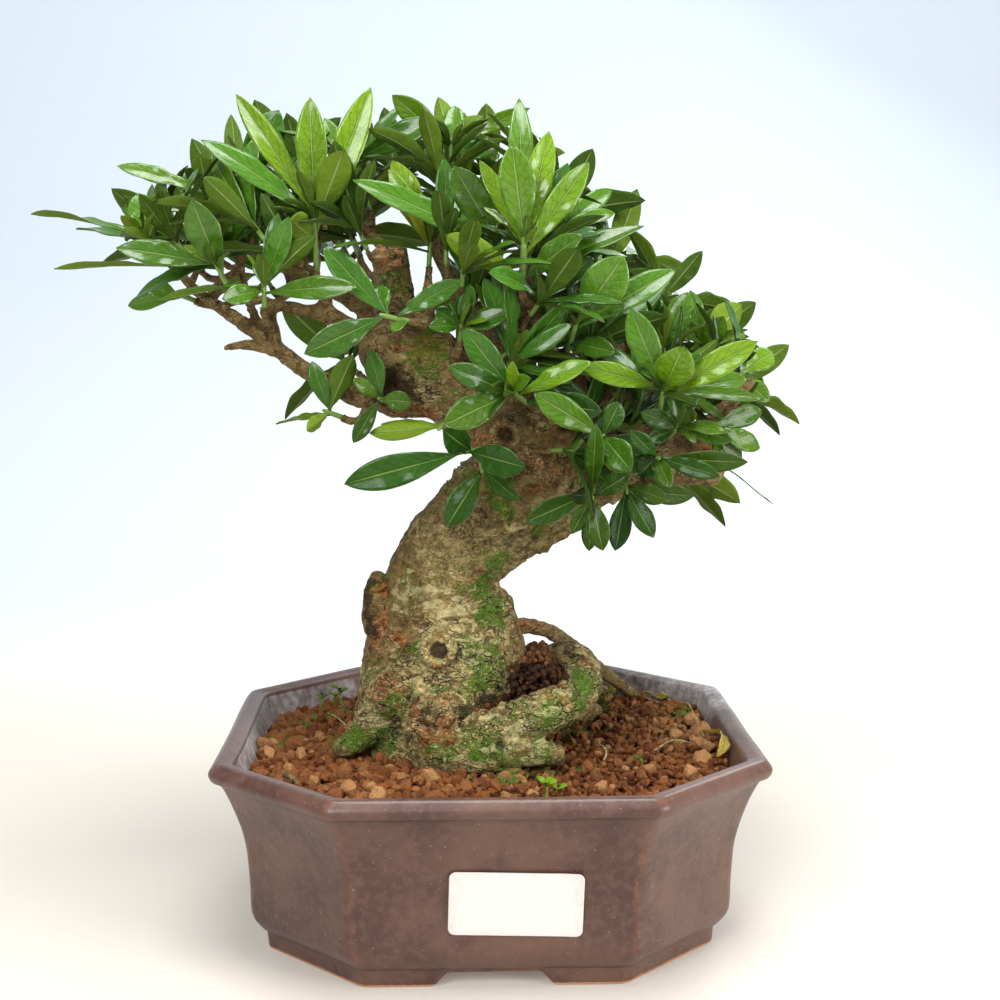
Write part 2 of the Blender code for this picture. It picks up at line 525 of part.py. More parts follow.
def twig_route(spray, carriers, shoots):
    """Bent route from the nearest suitable wood to just under the shoot."""
    end = spray.start - spray.grows * SEAT_GAP
    best = None
    for route, radii in carriers:
        for point, radius in zip(route, radii):
            gap = end - point
            turn = 1 - gap.normalized().dot(spray.grows)
            cost = gap.length * (1 + turn) + max(0, turn - 0.4) * 0.06 + max(0, 0.007 - gap.length) * 5
            if best is None or cost < best[0]:
                best = (cost, point, radius)
    _, root, radius = best
    reach = (end - root).length
    straight = end - spray.grows * min(0.003, reach * 0.25)
    root_radius = max(TWIG_ROOT_RADII[0], min(TWIG_ROOT_RADII[1], radius * 0.75))
    for bulge in (Vector((0, 0, 0)), Vector((0, 0, -1)), Vector((1, 0, 0)), Vector((-1, 0, 0)),
                  Vector((0, 1, 0)), Vector((0, -1, 0)), Vector((0, 0, 1))):
        pull = straight - spray.grows * (reach * 0.35) + bulge * (reach * 0.2)
        steps = (0, 0.35, 0.7, 1) if reach > 0.020 else (0, 0.5, 1)
        route = [root * (1 - t) ** 2 + pull * (2 * t * (1 - t)) + straight * t * t for t in steps] + [end]
        radii = [root_radius + (SHOOT_RADIUS - root_radius) * t for t in steps] + [SHOOT_RADIUS]
        guard = Guard(*tube_faces(route, radii, LEAF_CLEARANCE))
        if not any(guard.meets(shoot) for name, shoot in shoots.items() if name != spray.name):
            break
    return route, radii


def new_object(name, mesh, collection):
    piece = bpy.data.objects.new(name, mesh)
    collection.objects.link(piece)
    return piece


def mesh_of(points, faces, name):
    """Closed mesh of the given points and faces, facing outwards."""
    mesh = bpy.data.meshes.new(name)
    shape = bmesh.new()
    corners = [shape.verts.new(p) for p in points]
    for face in faces:
        shape.faces.new([corners[k] for k in face])
    bmesh.ops.recalc_face_normals(shape, faces=shape.faces)
    shape.to_mesh(mesh)
    shape.free()
    return mesh


def evaluated_mesh(piece):
    """The mesh that an object's modifiers or curve settings make."""
    bpy.context.view_layer.update()
    depsgraph = bpy.context.evaluated_depsgraph_get()
    return bpy.data.meshes.new_from_object(piece.evaluated_get(depsgraph), depsgraph=depsgraph)


def applied(piece):
    """Applies an object's modifiers to it."""
    mesh = evaluated_mesh(piece)
    piece.modifiers.clear()
    piece.data = mesh
    return piece


def tube(name, route, radii, sides, collection):
    """Closed tube mesh swept along a route."""
    curve = bpy.data.curves.new(name, "CURVE")
    curve.dimensions = "3D"
    curve.bevel_depth = MM
    curve.bevel_resolution = (sides - 4) // 2
    curve.use_fill_caps = True
    spline = curve.splines.new("POLY")
    spline.points.add(len(route) - 1)
    for place, point, radius in zip(spline.points, route, radii):
        place.co = (*point, 1)
        place.radius = radius
    guide = new_object(name + "_route", curve, collection)
    mesh = evaluated_mesh(guide)
    bpy.data.objects.remove(guide)
    shape = bmesh.new()
    shape.from_mesh(mesh)
    bmesh.ops.remove_doubles(shape, verts=shape.verts, dist=0.01 * MM)
    bmesh.ops.triangulate(shape, faces=shape.faces)
    bmesh.ops.recalc_face_normals(shape, faces=shape.faces)
    shape.to_mesh(mesh)
    shape.free()
    return new_object(name, mesh, collection)


def join_all(piece, others, operation="UNION", solver="MANIFOLD"):
    """One Boolean of a piece with several others, applied; the others are removed."""
    group = bpy.data.collections.new(piece.name + "_joined")
    for other in others:
        for holder in list(other.users_collection):
            holder.objects.unlink(other)
        group.objects.link(other)
    bpy.context.scene.collection.children.link(group)
    join = piece.modifiers.new("join", "BOOLEAN")
    join.operation = operation
    join.operand_type = "COLLECTION"
    join.collection = group
    join.solver = solver
    applied(piece)
    for other in others:
        bpy.data.objects.remove(other)
    bpy.data.collections.remove(group)
    return piece


def keep_largest(piece):
    """Drops loose scraps and sealed hollows, so that one closed body stays."""
    shape = bmesh.new()
    shape.from_mesh(piece.data)
    waiting = set(shape.verts)
    bodies = []
    while waiting:
        body = set()
        edge = [waiting.pop()]
        while edge:
            corner = edge.pop()
            body.add(corner)
            near = {e.other_vert(corner) for e in corner.link_edges} & waiting
            waiting -= near
            edge += near
        bodies.append(body)
    bodies.sort(key=lambda body: -max((v.co - w.co).length for v in list(body)[:1] for w in body))
    scraps = [corner for body in bodies[1:] for corner in body]
    bmesh.ops.delete(shape, geom=scraps, context="VERTS")
    shape.to_mesh(piece.data)
    shape.free()


def crossings(mesh):
    """How many pairs of a mesh's triangles cut each other, and how many edges aren't shared by two."""
    shape = bmesh.new()
    shape.from_mesh(mesh)
    bmesh.ops.triangulate(shape, faces=shape.faces)
    tree = BVHTree.FromBMesh(shape)
    corners = [{corner.index for corner in face.verts} for face in shape.faces]
    cut = sum(1 for i, j in tree.overlap(tree) if i < j and not corners[i] & corners[j])
    loose = sum(1 for edge in shape.edges if len(edge.link_faces) != 2)
    shape.free()
    return cut + loose


def lighten(piece, keeps):
    """Merges the smallest faces, as far as the surface still doesn't cut itself."""
    for keep in keeps:
        thin = piece.modifiers.new("lighten", "DECIMATE")
        thin.ratio = keep
        mesh = evaluated_mesh(piece)
        piece.modifiers.clear()
        if crossings(mesh) == 0:
            piece.data = mesh
            return piece
    return piece


def octagon_ring(half, height):
    """Points of the pot's outline with small cut corners, scaled to a half width, at a height."""
    scale = half / POT_HALF
    corners = []
    for quarter in range(4):
        turn = Matrix.Rotation(quarter * math.pi / 2, 3, "Z")
        for x, y in ((POT_HALF, POT_FACE_HALF), (POT_FACE_HALF, POT_HALF)):
            corners.append(turn @ Vector((x, y, 0)))
    ring = []
    count = len(corners)
    for i, corner in enumerate(corners):
        for neighbour in (corners[i - 1], corners[(i + 1) % count]):
            toward = (neighbour - corner).normalized()
            point = (corner + toward * POT_CORNER_CUT) * scale
            ring.append(Vector((point.x, point.y, height)))
    return ring


def stacked_rings(name, rings, collection):
    """Closed solid whose side runs through the rings in order, with both ends capped."""
    count = len(rings[0])
    points = [p for ring in rings for p in ring]
    faces = [tuple(range(count)), tuple(range((len(rings) - 1) * count, len(rings) * count))]
    for i in range(len(rings) - 1):
        for k in range(count):
            a, b = i * count + k, i * count + (k + 1) % count
            faces.append((a, b, b + count, a + count))
    return new_object(name, mesh_of(points, faces, name), collection)


def block(name, size, middle, collection, taper=1.0):
    """Box cutter; taper narrows its top along X and Y."""
    mesh = bpy.data.meshes.new(name)
    shape = bmesh.new()
    bmesh.ops.create_cube(shape, size=1)
    for corner in shape.verts:
        shrink = taper if corner.co.z > 0 else 1.0
        corner.co = Vector((corner.co.x * size[0] * shrink, corner.co.y * size[1], corner.co.z * size[2]))
        corner.co += Vector(middle)
    shape.to_mesh(mesh)
    shape.free()
    cutter = new_object(name, mesh, collection)
    cutter.hide_render = True
    cutter.display_type = "WIRE"
    return cutter


def cylinder(name, radius, depth, middle, collection):
    mesh = bpy.data.meshes.new(name)
    shape = bmesh.new()
    bmesh.ops.create_cone(shape, cap_ends=True, segments=16, radius1=radius, radius2=radius, depth=depth,
                          matrix=Matrix.Translation(middle))
    shape.to_mesh(mesh)
    shape.free()
    return new_object(name, mesh, collection)


def rings_of(profile):
    return [octagon_ring(half * MM, height * MM) for half, height in profile]


def make_pot(parts, cutters):
    """Glazed pot: walls on a foot ring, with a floor, four corner feet and two drain holes."""
    outside = rings_of(POT_OUTSIDE)
    inside = rings_of(POT_INSIDE)
    pot = stacked_rings("pot", outside + inside, parts)
    cuts = [stacked_rings("hollow_under_floor", rings_of(UNDER_FLOOR), cutters)]
    slope = FOOT_GAP_TOP / FOOT_GAP_BOTTOM
    for name, turn in (("front_back", 0), ("side_side", math.pi / 2)):
        gap = block("foot_gap_" + name, (FOOT_GAP_BOTTOM, 4 * POT_HALF, 2 * FOOT_GAP_HEIGHT), (0, 0, 0), cutters,
                    slope)
        gap.data.transform(Matrix.Rotation(turn, 4, "Z"))
        cuts.append(gap)
    for side in (-1, 1):
        middle = Vector((side * DRAIN_OFFSET, 0, FLOOR_TOP / 2))
        cuts.append(cylinder("drain", DRAIN_RADIUS, 3 * FLOOR_TOP, middle, cutters))
    return join_all(pot, cuts, "DIFFERENCE", "EXACT")


def wall_half(height):
    """Half width of the pot's outside at a height."""
    for (low_half, low), (high_half, high) in zip(POT_OUTSIDE, POT_OUTSIDE[1:]):
        if low * MM <= height <= high * MM:
            share = (height / MM - low) / (high - low)
            return (low_half + (high_half - low_half) * share) * MM
    return POT_HALF


def make_label(parts):
    """Blank sticker with rounded corners that follows the front wall."""
    half_width, half_height = LABEL_WIDTH / 2 - LABEL_CORNER, LABEL_HEIGHT / 2 - LABEL_CORNER
    outline = []
    for k, (sx, sz) in enumerate(((1, 1), (-1, 1), (-1, -1), (1, -1))):
        for step in range(LABEL_CORNER_STEPS):
            angle = (k + step / (LABEL_CORNER_STEPS - 1)) * math.pi / 2
            outline.append((sx * half_width + LABEL_CORNER * math.cos(angle),
                            sz * half_height + LABEL_CORNER * math.sin(angle)))
    bottom = LABEL_MIDDLE.z - LABEL_HEIGHT / 2
    slope = (wall_half(bottom + LABEL_HEIGHT) - wall_half(bottom)) / LABEL_HEIGHT
    rings = []
    for depth in (LABEL_STANDOFF, LABEL_STANDOFF + LABEL_THICKNESS):
        ring = []
        for x, z in outline:
            turned_x = x * math.cos(LABEL_TURN) + z * math.sin(LABEL_TURN)
            height = LABEL_MIDDLE.z + z * math.cos(LABEL_TURN) - x * math.sin(LABEL_TURN)
            wall = wall_half(bottom) + slope * (height - bottom)
            ring.append(Vector((LABEL_MIDDLE.x + turned_x, -wall - depth, height)))
        rings.append(ring)
    return stacked_rings("label", rings, parts)


def make_screen(name, side, parts, cutters):
    """Square plastic mesh that lies over a drain hole."""
    middle = Vector((side * DRAIN_OFFSET, 0, FLOOR_TOP + SEAT_GAP + SCREEN_THICKNESS / 2))
    screen = block(name, (SCREEN_SIDE, SCREEN_SIDE, SCREEN_THICKNESS), middle, parts)
    screen.hide_render = False
    screen.display_type = "TEXTURED"
    holes = []
    for row in (-0.5, 0.5):
        for column in (-0.5, 0.5):
            place = middle + Vector((column, row, 0)) * SCREEN_PITCH
            holes.append(block("screen_hole", (SCREEN_HOLE, SCREEN_HOLE, 4 * SCREEN_THICKNESS), place, cutters))
    return join_all(screen, holes, "DIFFERENCE", "EXACT")


def soil_height(x, y):
    """Level of the soil: lower at the back left, mounded round the trunk."""
    trunk = seen(447, 735, 0)
    away = math.hypot(x - trunk.x, y - trunk.y)
    mound = SOIL_MOUND * math.exp(-(away / SOIL_MOUND_REACH) ** 2 * 2)
    back_left = max(0, min(1, 0.5 + (y - x) / (4 * POT_HALF)))
    return SOIL_LEVEL - SOIL_DIP * back_left ** 2 + mound


def make_soil(parts, cutters, trunk):
    """Soil that fills the pot to a grainy, mounded top, cut round the roots and the drain screens."""
    rng = random.Random(SEED)
    inner = []
    for half, height in reversed(POT_INSIDE):
        inner.append(octagon_ring(half * MM - SOIL_SIDE_GAP, max(height * MM, FLOOR_TOP + SEAT_GAP)))
    filling = stacked_rings("filling", inner, cutters)
    cells = int(2 * POT_HALF / SOIL_CELL)
    relief = bpy.data.meshes.new("relief")
    shape = bmesh.new()
    bmesh.ops.create_grid(shape, x_segments=cells, y_segments=cells, size=POT_HALF)
    for point in shape.verts:
        point.co.x += rng.uniform(-0.25, 0.25) * SOIL_CELL
        point.co.y += rng.uniform(-0.25, 0.25) * SOIL_CELL
        point.co.z = soil_height(point.co.x, point.co.y) + rng.uniform(-1, 1) * SOIL_GRAIN
    bmesh.ops.triangulate(shape, faces=shape.faces)
    edges = [edge for edge in shape.edges if edge.is_boundary]
    skirt = bmesh.ops.extrude_edge_only(shape, edges=edges)["geom"]
    low = [item for item in skirt if isinstance(item, bmesh.types.BMVert)]
    for point in low:
        point.co.z = 0
    bmesh.ops.contextual_create(shape, geom=[item for item in skirt if isinstance(item, bmesh.types.BMEdge)])
    bmesh.ops.recalc_face_normals(shape, faces=shape.faces)
    shape.to_mesh(relief)
    shape.free()
    soil = new_object("soil", relief, parts)
    join_all(soil, [filling], "INTERSECT", "EXACT")
    pocket = new_object("pocket", trunk.data.copy(), cutters)
    shape = bmesh.new()
    shape.from_mesh(pocket.data)
    above = [face for face in shape.faces if all(v.co.z > ROOTS_BELOW for v in face.verts)]
    bmesh.ops.delete(shape, geom=above, context="FACES")
    bmesh.ops.holes_fill(shape, edges=[edge for edge in shape.edges if edge.is_boundary], sides=0)
    bmesh.ops.triangulate(shape, faces=shape.faces)
    bmesh.ops.recalc_face_normals(shape, faces=shape.faces)
    shape.normal_update()
    for point in shape.verts:
        point.co += point.normal * SOIL_ROOT_GAP
    shape.to_mesh(pocket.data)
    shape.free()
    cuts = [pocket]
    for side in (-1, 1):
        middle = (side * DRAIN_OFFSET, 0, FLOOR_TOP)
        size = (SCREEN_SIDE + 2 * SEAT_GAP, SCREEN_SIDE + 2 * SEAT_GAP, 2 * SCREEN_THICKNESS + 4 * SEAT_GAP)
        cuts.append(block("screen_room", size, middle, cutters))
    return join_all(soil, cuts, "DIFFERENCE", "MANIFOLD")


def ball(name, place, radius, collection):
    mesh = bpy.data.meshes.new(name)
    shape = bmesh.new()
    bmesh.ops.create_icosphere(shape, subdivisions=2, radius=radius, matrix=Matrix.Translation(place))
    shape.to_mesh(mesh)
    shape.free()
    return new_object(name, mesh, collection)


def make_trunk(parts, cutters, branches, twigs):
    """Trunk, roots, limbs, branches and brown twigs as one solid."""
    lumps = []
    for name, rows in THICK_WOOD.items():
        route, radii = smooth_route(rows, 4)
        lumps.append(tube(name, route, radii, THICK_SIDES, cutters))
    for row in KNOTS:
        lumps.append(ball("knot", seen(*row[:3]), row[3] * MM, cutters))
    whole = bmesh.new()
    for lump in lumps:
        whole.from_mesh(lump.data)
        bpy.data.objects.remove(lump)
    mesh = bpy.data.meshes.new("trunk")
    whole.to_mesh(mesh)
    whole.free()
    trunk = new_object("trunk", mesh, parts)
    blend = trunk.modifiers.new("blend", "REMESH")
    blend.mode = "VOXEL"
    blend.voxel_size = WOOD_VOXEL
    ease = trunk.modifiers.new("ease", "SMOOTH")
    ease.factor = 0.5
    ease.iterations = 4
    applied(trunk)
    lighten(trunk, WOOD_KEEP)
    thin = [tube("wiry_root", *smooth_route(WIRY_ROOT, 1), BRANCH_SIDES, cutters)]
    for name, (route, radii) in branches.items():
        thin.append(tube(name, *every(route, radii, FINE_STEPS), BRANCH_SIDES, cutters))
    for name, (route, radii) in twigs.items():
        thin.append(tube(name, route, radii, TWIG_SIDES, cutters))
    join_all(trunk, thin)
    keep_largest(trunk)
    lighten(trunk, TREE_KEEP)
    return trunk


def make_spray(spray, parts, cutters):
    """Green shoot with its leaves, joined into one solid."""
    bud = spray.heart + spray.grows * BUD_LENGTH
    radii = [SHOOT_RADIUS, SHOOT_RADIUS, SHOOT_TIP_RADIUS]
    shoot = tube(spray.name, [spray.start, spray.heart, bud], radii, TWIG_SIDES, parts)
    blades = []
    for leaf in spray.leaves:
        points, faces = leaf.loft(leaf.stations())
        blades.append(new_object("leaf", mesh_of(points, faces, "leaf"), cutters))
    if blades:
        join_all(shoot, blades)
        keep_largest(shoot)
        lighten(shoot, SPRAY_KEEP)
    return shoot


def finish_of(name, colour, roughness, metallic=0.0):
    material = bpy.data.materials.new(name)
    material.use_nodes = True
    shader = material.node_tree.nodes["Principled BSDF"]
    shader.inputs["Base Color"].default_value = (*colour, 1)
    shader.inputs["Roughness"].default_value = roughness
    shader.inputs["Metallic"].default_value = metallic
    return material


FINISHES = {
    "pot": ((0.075, 0.045, 0.045), 0.3),
    "soil": ((0.27, 0.11, 0.06), 0.95),
    "trunk": ((0.27, 0.22, 0.15), 0.85),
    "label": ((0.85, 0.86, 0.87), 0.5),
    "drain_screen_left": ((0.03, 0.03, 0.03), 0.6),
    "drain_screen_right": ((0.03, 0.03, 0.03), 0.6),
}
LEAF_FINISH = ((0.12, 0.27, 0.06), 0.35)


def main():
    for old in list(bpy.data.objects):
        bpy.data.objects.remove(old)
    parts = bpy.data.collections.new("gardenia_bonsai")
    cutters = bpy.data.collections.new("cutters")
    for holder in (parts, cutters):
        bpy.context.scene.collection.children.link(holder)
    sprays = FRONT_SPRAYS + back_sprays()
    branches = branch_routes(sprays)
    carriers = list(branches.values())
    carriers += [smooth_route(THICK_WOOD[name], 4) for name in ("limb_left", "limb_right", "limb_upright")]
    thick = [smooth_route(rows, 4) for rows in THICK_WOOD.values()]
    wood = [Guard(*tube_faces(route, radii, BARK_ROOM, THICK_SIDES)) for route, radii in thick]
    wood += [Guard(*tube_faces(route, radii, BRANCH_ROOM)) for route, radii in branches.values()]
    crown = Crown(sprays, wood)
    twigs = {}
    for spray in sprays:
        route, radii = twig_route(spray, carriers, crown.shoots)
        twigs["twig_" + spray.name] = (route, radii)
        crown.wood.append(Guard(*tube_faces(route[:-1], radii, LEAF_CLEARANCE)))
    crown.grow()
    trunk = make_trunk(parts, cutters, branches, twigs)
    make_soil(parts, cutters, trunk)
    make_pot(parts, cutters)
    make_label(parts)
    make_screen("drain_screen_left", -1, parts, cutters)
    make_screen("drain_screen_right", 1, parts, cutters)
    for spray in sprays:
        make_spray(spray, parts, cutters)
    for piece in parts.objects:
        colour, roughness = FINISHES.get(piece.name, LEAF_FINISH)
        piece.data.materials.clear()
        piece.data.materials.append(finish_of(piece.name + "_finish", colour, roughness))
    corners = [piece.matrix_world @ Vector(c) for piece in parts.objects for c in piece.bound_box]
    low, high = box_of(corners)
    shift = Vector(((low.x + high.x) / 2, (low.y + high.y) / 2, low.z))
    for piece in parts.objects:
        piece.location = piece.location - shift


main()
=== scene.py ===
"""Gardenia bonsai in an eight-sided glazed pot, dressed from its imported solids. Metres, +Z up.

Shapes are made round the pot's middle and moved to the pot's place when a piece is made.
"""

import json
import math
import random

import bmesh
import bpy
import numpy as np
from mathutils import Matrix, Vector, noise
from mathutils.bvhtree import BVHTree
from mathutils.kdtree import KDTree

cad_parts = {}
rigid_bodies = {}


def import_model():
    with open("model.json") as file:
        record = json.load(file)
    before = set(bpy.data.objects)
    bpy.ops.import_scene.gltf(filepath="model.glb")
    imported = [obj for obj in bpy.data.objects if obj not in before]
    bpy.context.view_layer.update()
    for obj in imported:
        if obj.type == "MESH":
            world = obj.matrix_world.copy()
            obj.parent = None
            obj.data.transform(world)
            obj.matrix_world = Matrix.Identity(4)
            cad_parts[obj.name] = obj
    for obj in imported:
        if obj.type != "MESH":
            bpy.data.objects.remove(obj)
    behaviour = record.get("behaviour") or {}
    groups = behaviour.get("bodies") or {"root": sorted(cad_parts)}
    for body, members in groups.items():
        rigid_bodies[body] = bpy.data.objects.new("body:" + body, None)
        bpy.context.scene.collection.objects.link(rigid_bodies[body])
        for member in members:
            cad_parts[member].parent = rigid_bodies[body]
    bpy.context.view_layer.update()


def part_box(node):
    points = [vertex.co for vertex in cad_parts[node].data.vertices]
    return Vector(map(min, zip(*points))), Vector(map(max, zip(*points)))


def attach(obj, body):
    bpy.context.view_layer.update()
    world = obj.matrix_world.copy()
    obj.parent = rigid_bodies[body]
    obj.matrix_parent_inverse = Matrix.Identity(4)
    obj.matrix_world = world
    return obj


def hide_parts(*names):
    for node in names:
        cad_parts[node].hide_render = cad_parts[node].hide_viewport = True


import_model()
MM = 0.001
SEED = 11
UP = Vector((0, 0, 1))
POT_LOW, POT_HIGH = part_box("pot")
POT_PLACE = Vector(((POT_LOW.x + POT_HIGH.x) / 2, (POT_LOW.y + POT_HIGH.y) / 2, 0))

# Pot: half widths and heights in mm along its outside, its inside and the recess under its floor
POT_HALF = 88 * MM
POT_FACE_HALF = 49 * MM
POT_OUTSIDE = [(71.4, 0.0), (72.0, 5.2), (73.4, 6.6), (76.4, 11.8), (76.8, 22.0), (77.8, 35.0), (80.9, 46.5),
               (84.8, 55.6), (87.1, 56.8), (88.0, 59.4), (86.2, 62.0)]
POT_LIP = (84.3, 62.5)
POT_INSIDE = [(82.2, 62.0), (80.8, 61.0), (78.8, 56.0), (74.4, 46.0), (71.6, 34.0), (70.0, 11.0)]
UNDER_FLOOR = [(64.2, -1.0), (63.0, 5.0)]
FLOOR_TOP = 11 * MM
FOOT_GAP_BOTTOM = 38 * MM
FOOT_GAP_TOP = 27 * MM
FOOT_GAP_HEIGHT = 4.6 * MM
DRAIN_RADIUS = 7 * MM
DRAIN_OFFSET = 34 * MM
WALL_STEPS = 10
CORNER_STEPS = 4
CORNER_ROUND = 2.6 * MM

# Drain screens, and the gap between pieces that touch
SCREEN_SIDE = 22 * MM
SCREEN_THICKNESS = 1.2 * MM
SCREEN_BARS = 7
SEAT_GAP = 0.3 * MM

# Label on the front wall
LABEL_WIDTH = 40 * MM
LABEL_HEIGHT = 20 * MM
LABEL_CORNER = 2 * MM
LABEL_MIDDLE = Vector((6.3, 0, 28)) * MM
LABEL_TURN = math.radians(1.6)
LABEL_STANDOFF = 0.45 * MM
LABEL_PAPER = 0.32

# Soil
SOIL_LEVEL = 56.4 * MM
SOIL_DIP = 4.5 * MM
SOIL_MOUND = 4.0 * MM
SOIL_MOUND_REACH = 46 * MM
SOIL_SIDE_GAP = 0.4 * MM
SOIL_EDGE = 73 * MM
MOSS_EDGE = 74 * MM
TRUNK_FOOT = (447, 735, 0)
HEAP_AT = (66 * MM, 24 * MM)
HEAP_REACH = 26 * MM
HEAP_HEIGHT = 2.2 * MM
GRAIN_PITCH = 3.0 * MM
ROW_SHARE = 0.87

# Wood
TREE_VOXEL = 0.95 * MM
THICK_SIDES = 12
FINE_STEPS = 4
TWIG_ROOT_RADII = (1.3, 2.0)
TIP_ROOM = 7 * MM
BARK_ROOM = 1.6 * MM
BRANCH_ROOM = 0.8 * MM

# Leaves and shoots: stations and grids say how finely a leaf is made
BLADE_THICKNESS = 0.9 * MM
PETIOLE_HALF = 0.7 * MM
SHOOT_RADIUS = 1.15
NODES = (0.97, 0.78, 0.6, 0.9, 0.7)
LEAF_ARCH = 0.10
LEAF_FOLD = 0.26
LEAF_CLEARANCE = 0.5 * MM
LARGE_LEAF = (0.0, 0.28, 0.58, 0.84)
SMALL_LEAF = (0.0, 0.34, 0.74)
LARGE_LEAF_LENGTH = 32 * MM
BUD_LENGTH = 2 * MM
LARGE_GRID = (18, 8)
SMALL_GRID = (12, 6)
TINY_GRID = (8, 4)
BLADE_MIDDLE = 0.5 * MM
BLADE_MARGIN = 0.24 * MM
CREASE = 0.12
FACE_DROP = Vector((0, 0, 0.1))

# Viewpoint of the readings, from the pot's middle
EYE = Vector((-13, -532, 205)) * MM
VIEW_YAW = 0.032
VIEW_PITCH = 0.124
VIEW_FOCAL = 1600
VIEW_CENTRE = 500
FORWARD = Vector((math.sin(VIEW_YAW) * math.cos(VIEW_PITCH), math.cos(VIEW_YAW) * math.cos(VIEW_PITCH),
                  -math.sin(VIEW_PITCH)))
RIGHT = Vector((math.cos(VIEW_YAW), -math.sin(VIEW_YAW), 0))
UPWARD = RIGHT.cross(FORWARD)

# Wood that is thick enough to be blended: (across, down, depth mm, radius mm) along each route
THICK_WOOD = {
    "trunk": [(450, 785, 0, 30), (447, 745, 0, 32), (447, 700, 0, 30.5), (445, 660, 0, 28.5),
              (443, 620, 0, 25), (441, 588, -1, 19.5), (453, 556, -2, 17.8), (479, 527, -3, 18.2),
              (510, 502, -2, 19.6), (538, 482, 0, 21), (557, 461, 2, 20.5)],
    "limb_left": [(545, 462, 2, 19.5), (510, 425, 0, 16), (470, 395, -2, 14.5), (432, 370, -3, 13.5),
                  (405, 338, -3, 10.6), (395, 304, -2, 7.0), (392, 272, -1, 6.2), (389, 250, -2, 6.0)],
    "limb_right": [(560, 468, 2, 19), (600, 466, 2, 13), (640, 458, 0, 11), (684, 457, -2, 9.6),
                   (720, 459, -3, 8.6)],
    "limb_upright": [(530, 425, 6, 9.5), (522, 385, 8, 6.6), (514, 345, 9, 4.4), (508, 318, 9, 3.6)],
    "knee_left": [(430, 385, -3, 11), (404, 396, -4, 7.4), (376, 397, -5, 5.0)],
    "root_left": [(412, 672, -8, 12), (394, 700, -14, 9.6), (378, 722, -18, 7.2), (356, 740, -22, 4.6),
                  (336, 752, -24, 2.6)],
    "root_front": [(440, 678, -14, 13), (437, 712, -24, 12.5), (440, 742, -29, 10.5), (448, 772, -30, 7)],
    "root_loop": [(455, 728, -26, 9), (485, 735, -33, 8.2), (522, 722, -33, 7.6), (556, 706, -30, 7.2),
                  (577, 690, -22, 7.0), (583, 672, -12, 6.6), (573, 658, -4, 5.6), (557, 656, 4, 4.8),
                  (538, 664, 10, 5)],
    "root_low": [(448, 752, -33, 7.5), (490, 755, -38, 6), (530, 752, -39, 4.8), (562, 756, -40, 3)],
    "root_right": [(480, 672, 8, 15), (520, 690, 16, 11), (560, 704, 24, 7.5), (596, 716, 32, 4.2)],
    "root_back": [(440, 668, 16, 15), (425, 690, 30, 10.5), (405, 706, 44, 6.5), (388, 722, 54, 3.6)],
    "root_rear": [(455, 672, 18, 14), (480, 694, 36, 9), (505, 712, 52, 5)],
    "bark_plate": [(380, 574, -6, 2.8), (374, 592, -8, 3.4), (372, 612, -10, 3.4), (373, 634, -11, 3.0)],
}
WIRY_ROOT = [(504, 630, 2, 3.6), (526, 626, 10, 2.6), (550, 632, 18, 2.5), (574, 647, 28, 2.4),
             (597, 667, 40, 2.4), (620, 684, 52, 2.2), (644, 704, 58, 1.6)]
# Knots and healed cuts: (across, down, depth mm, radius mm)
KNOTS = [(438, 652, -25, 6.4), (437, 712, -33, 7), (540, 430, -12, 10), (505, 440, -14, 10.5),
         (566, 424, -12, 10.5), (385, 350, -8, 9), (530, 470, -17, 7), (395, 700, -20, 7),
         (496, 606, -10, 6.4), (596, 482, -10, 8), (470, 498, -14, 7), (420, 352, 6, 8),
         (540, 455, 18, 10), (450, 600, 22, 7), (455, 560, 13, 6)]

LIMBS = ("limb_left", "limb_right", "limb_upright")
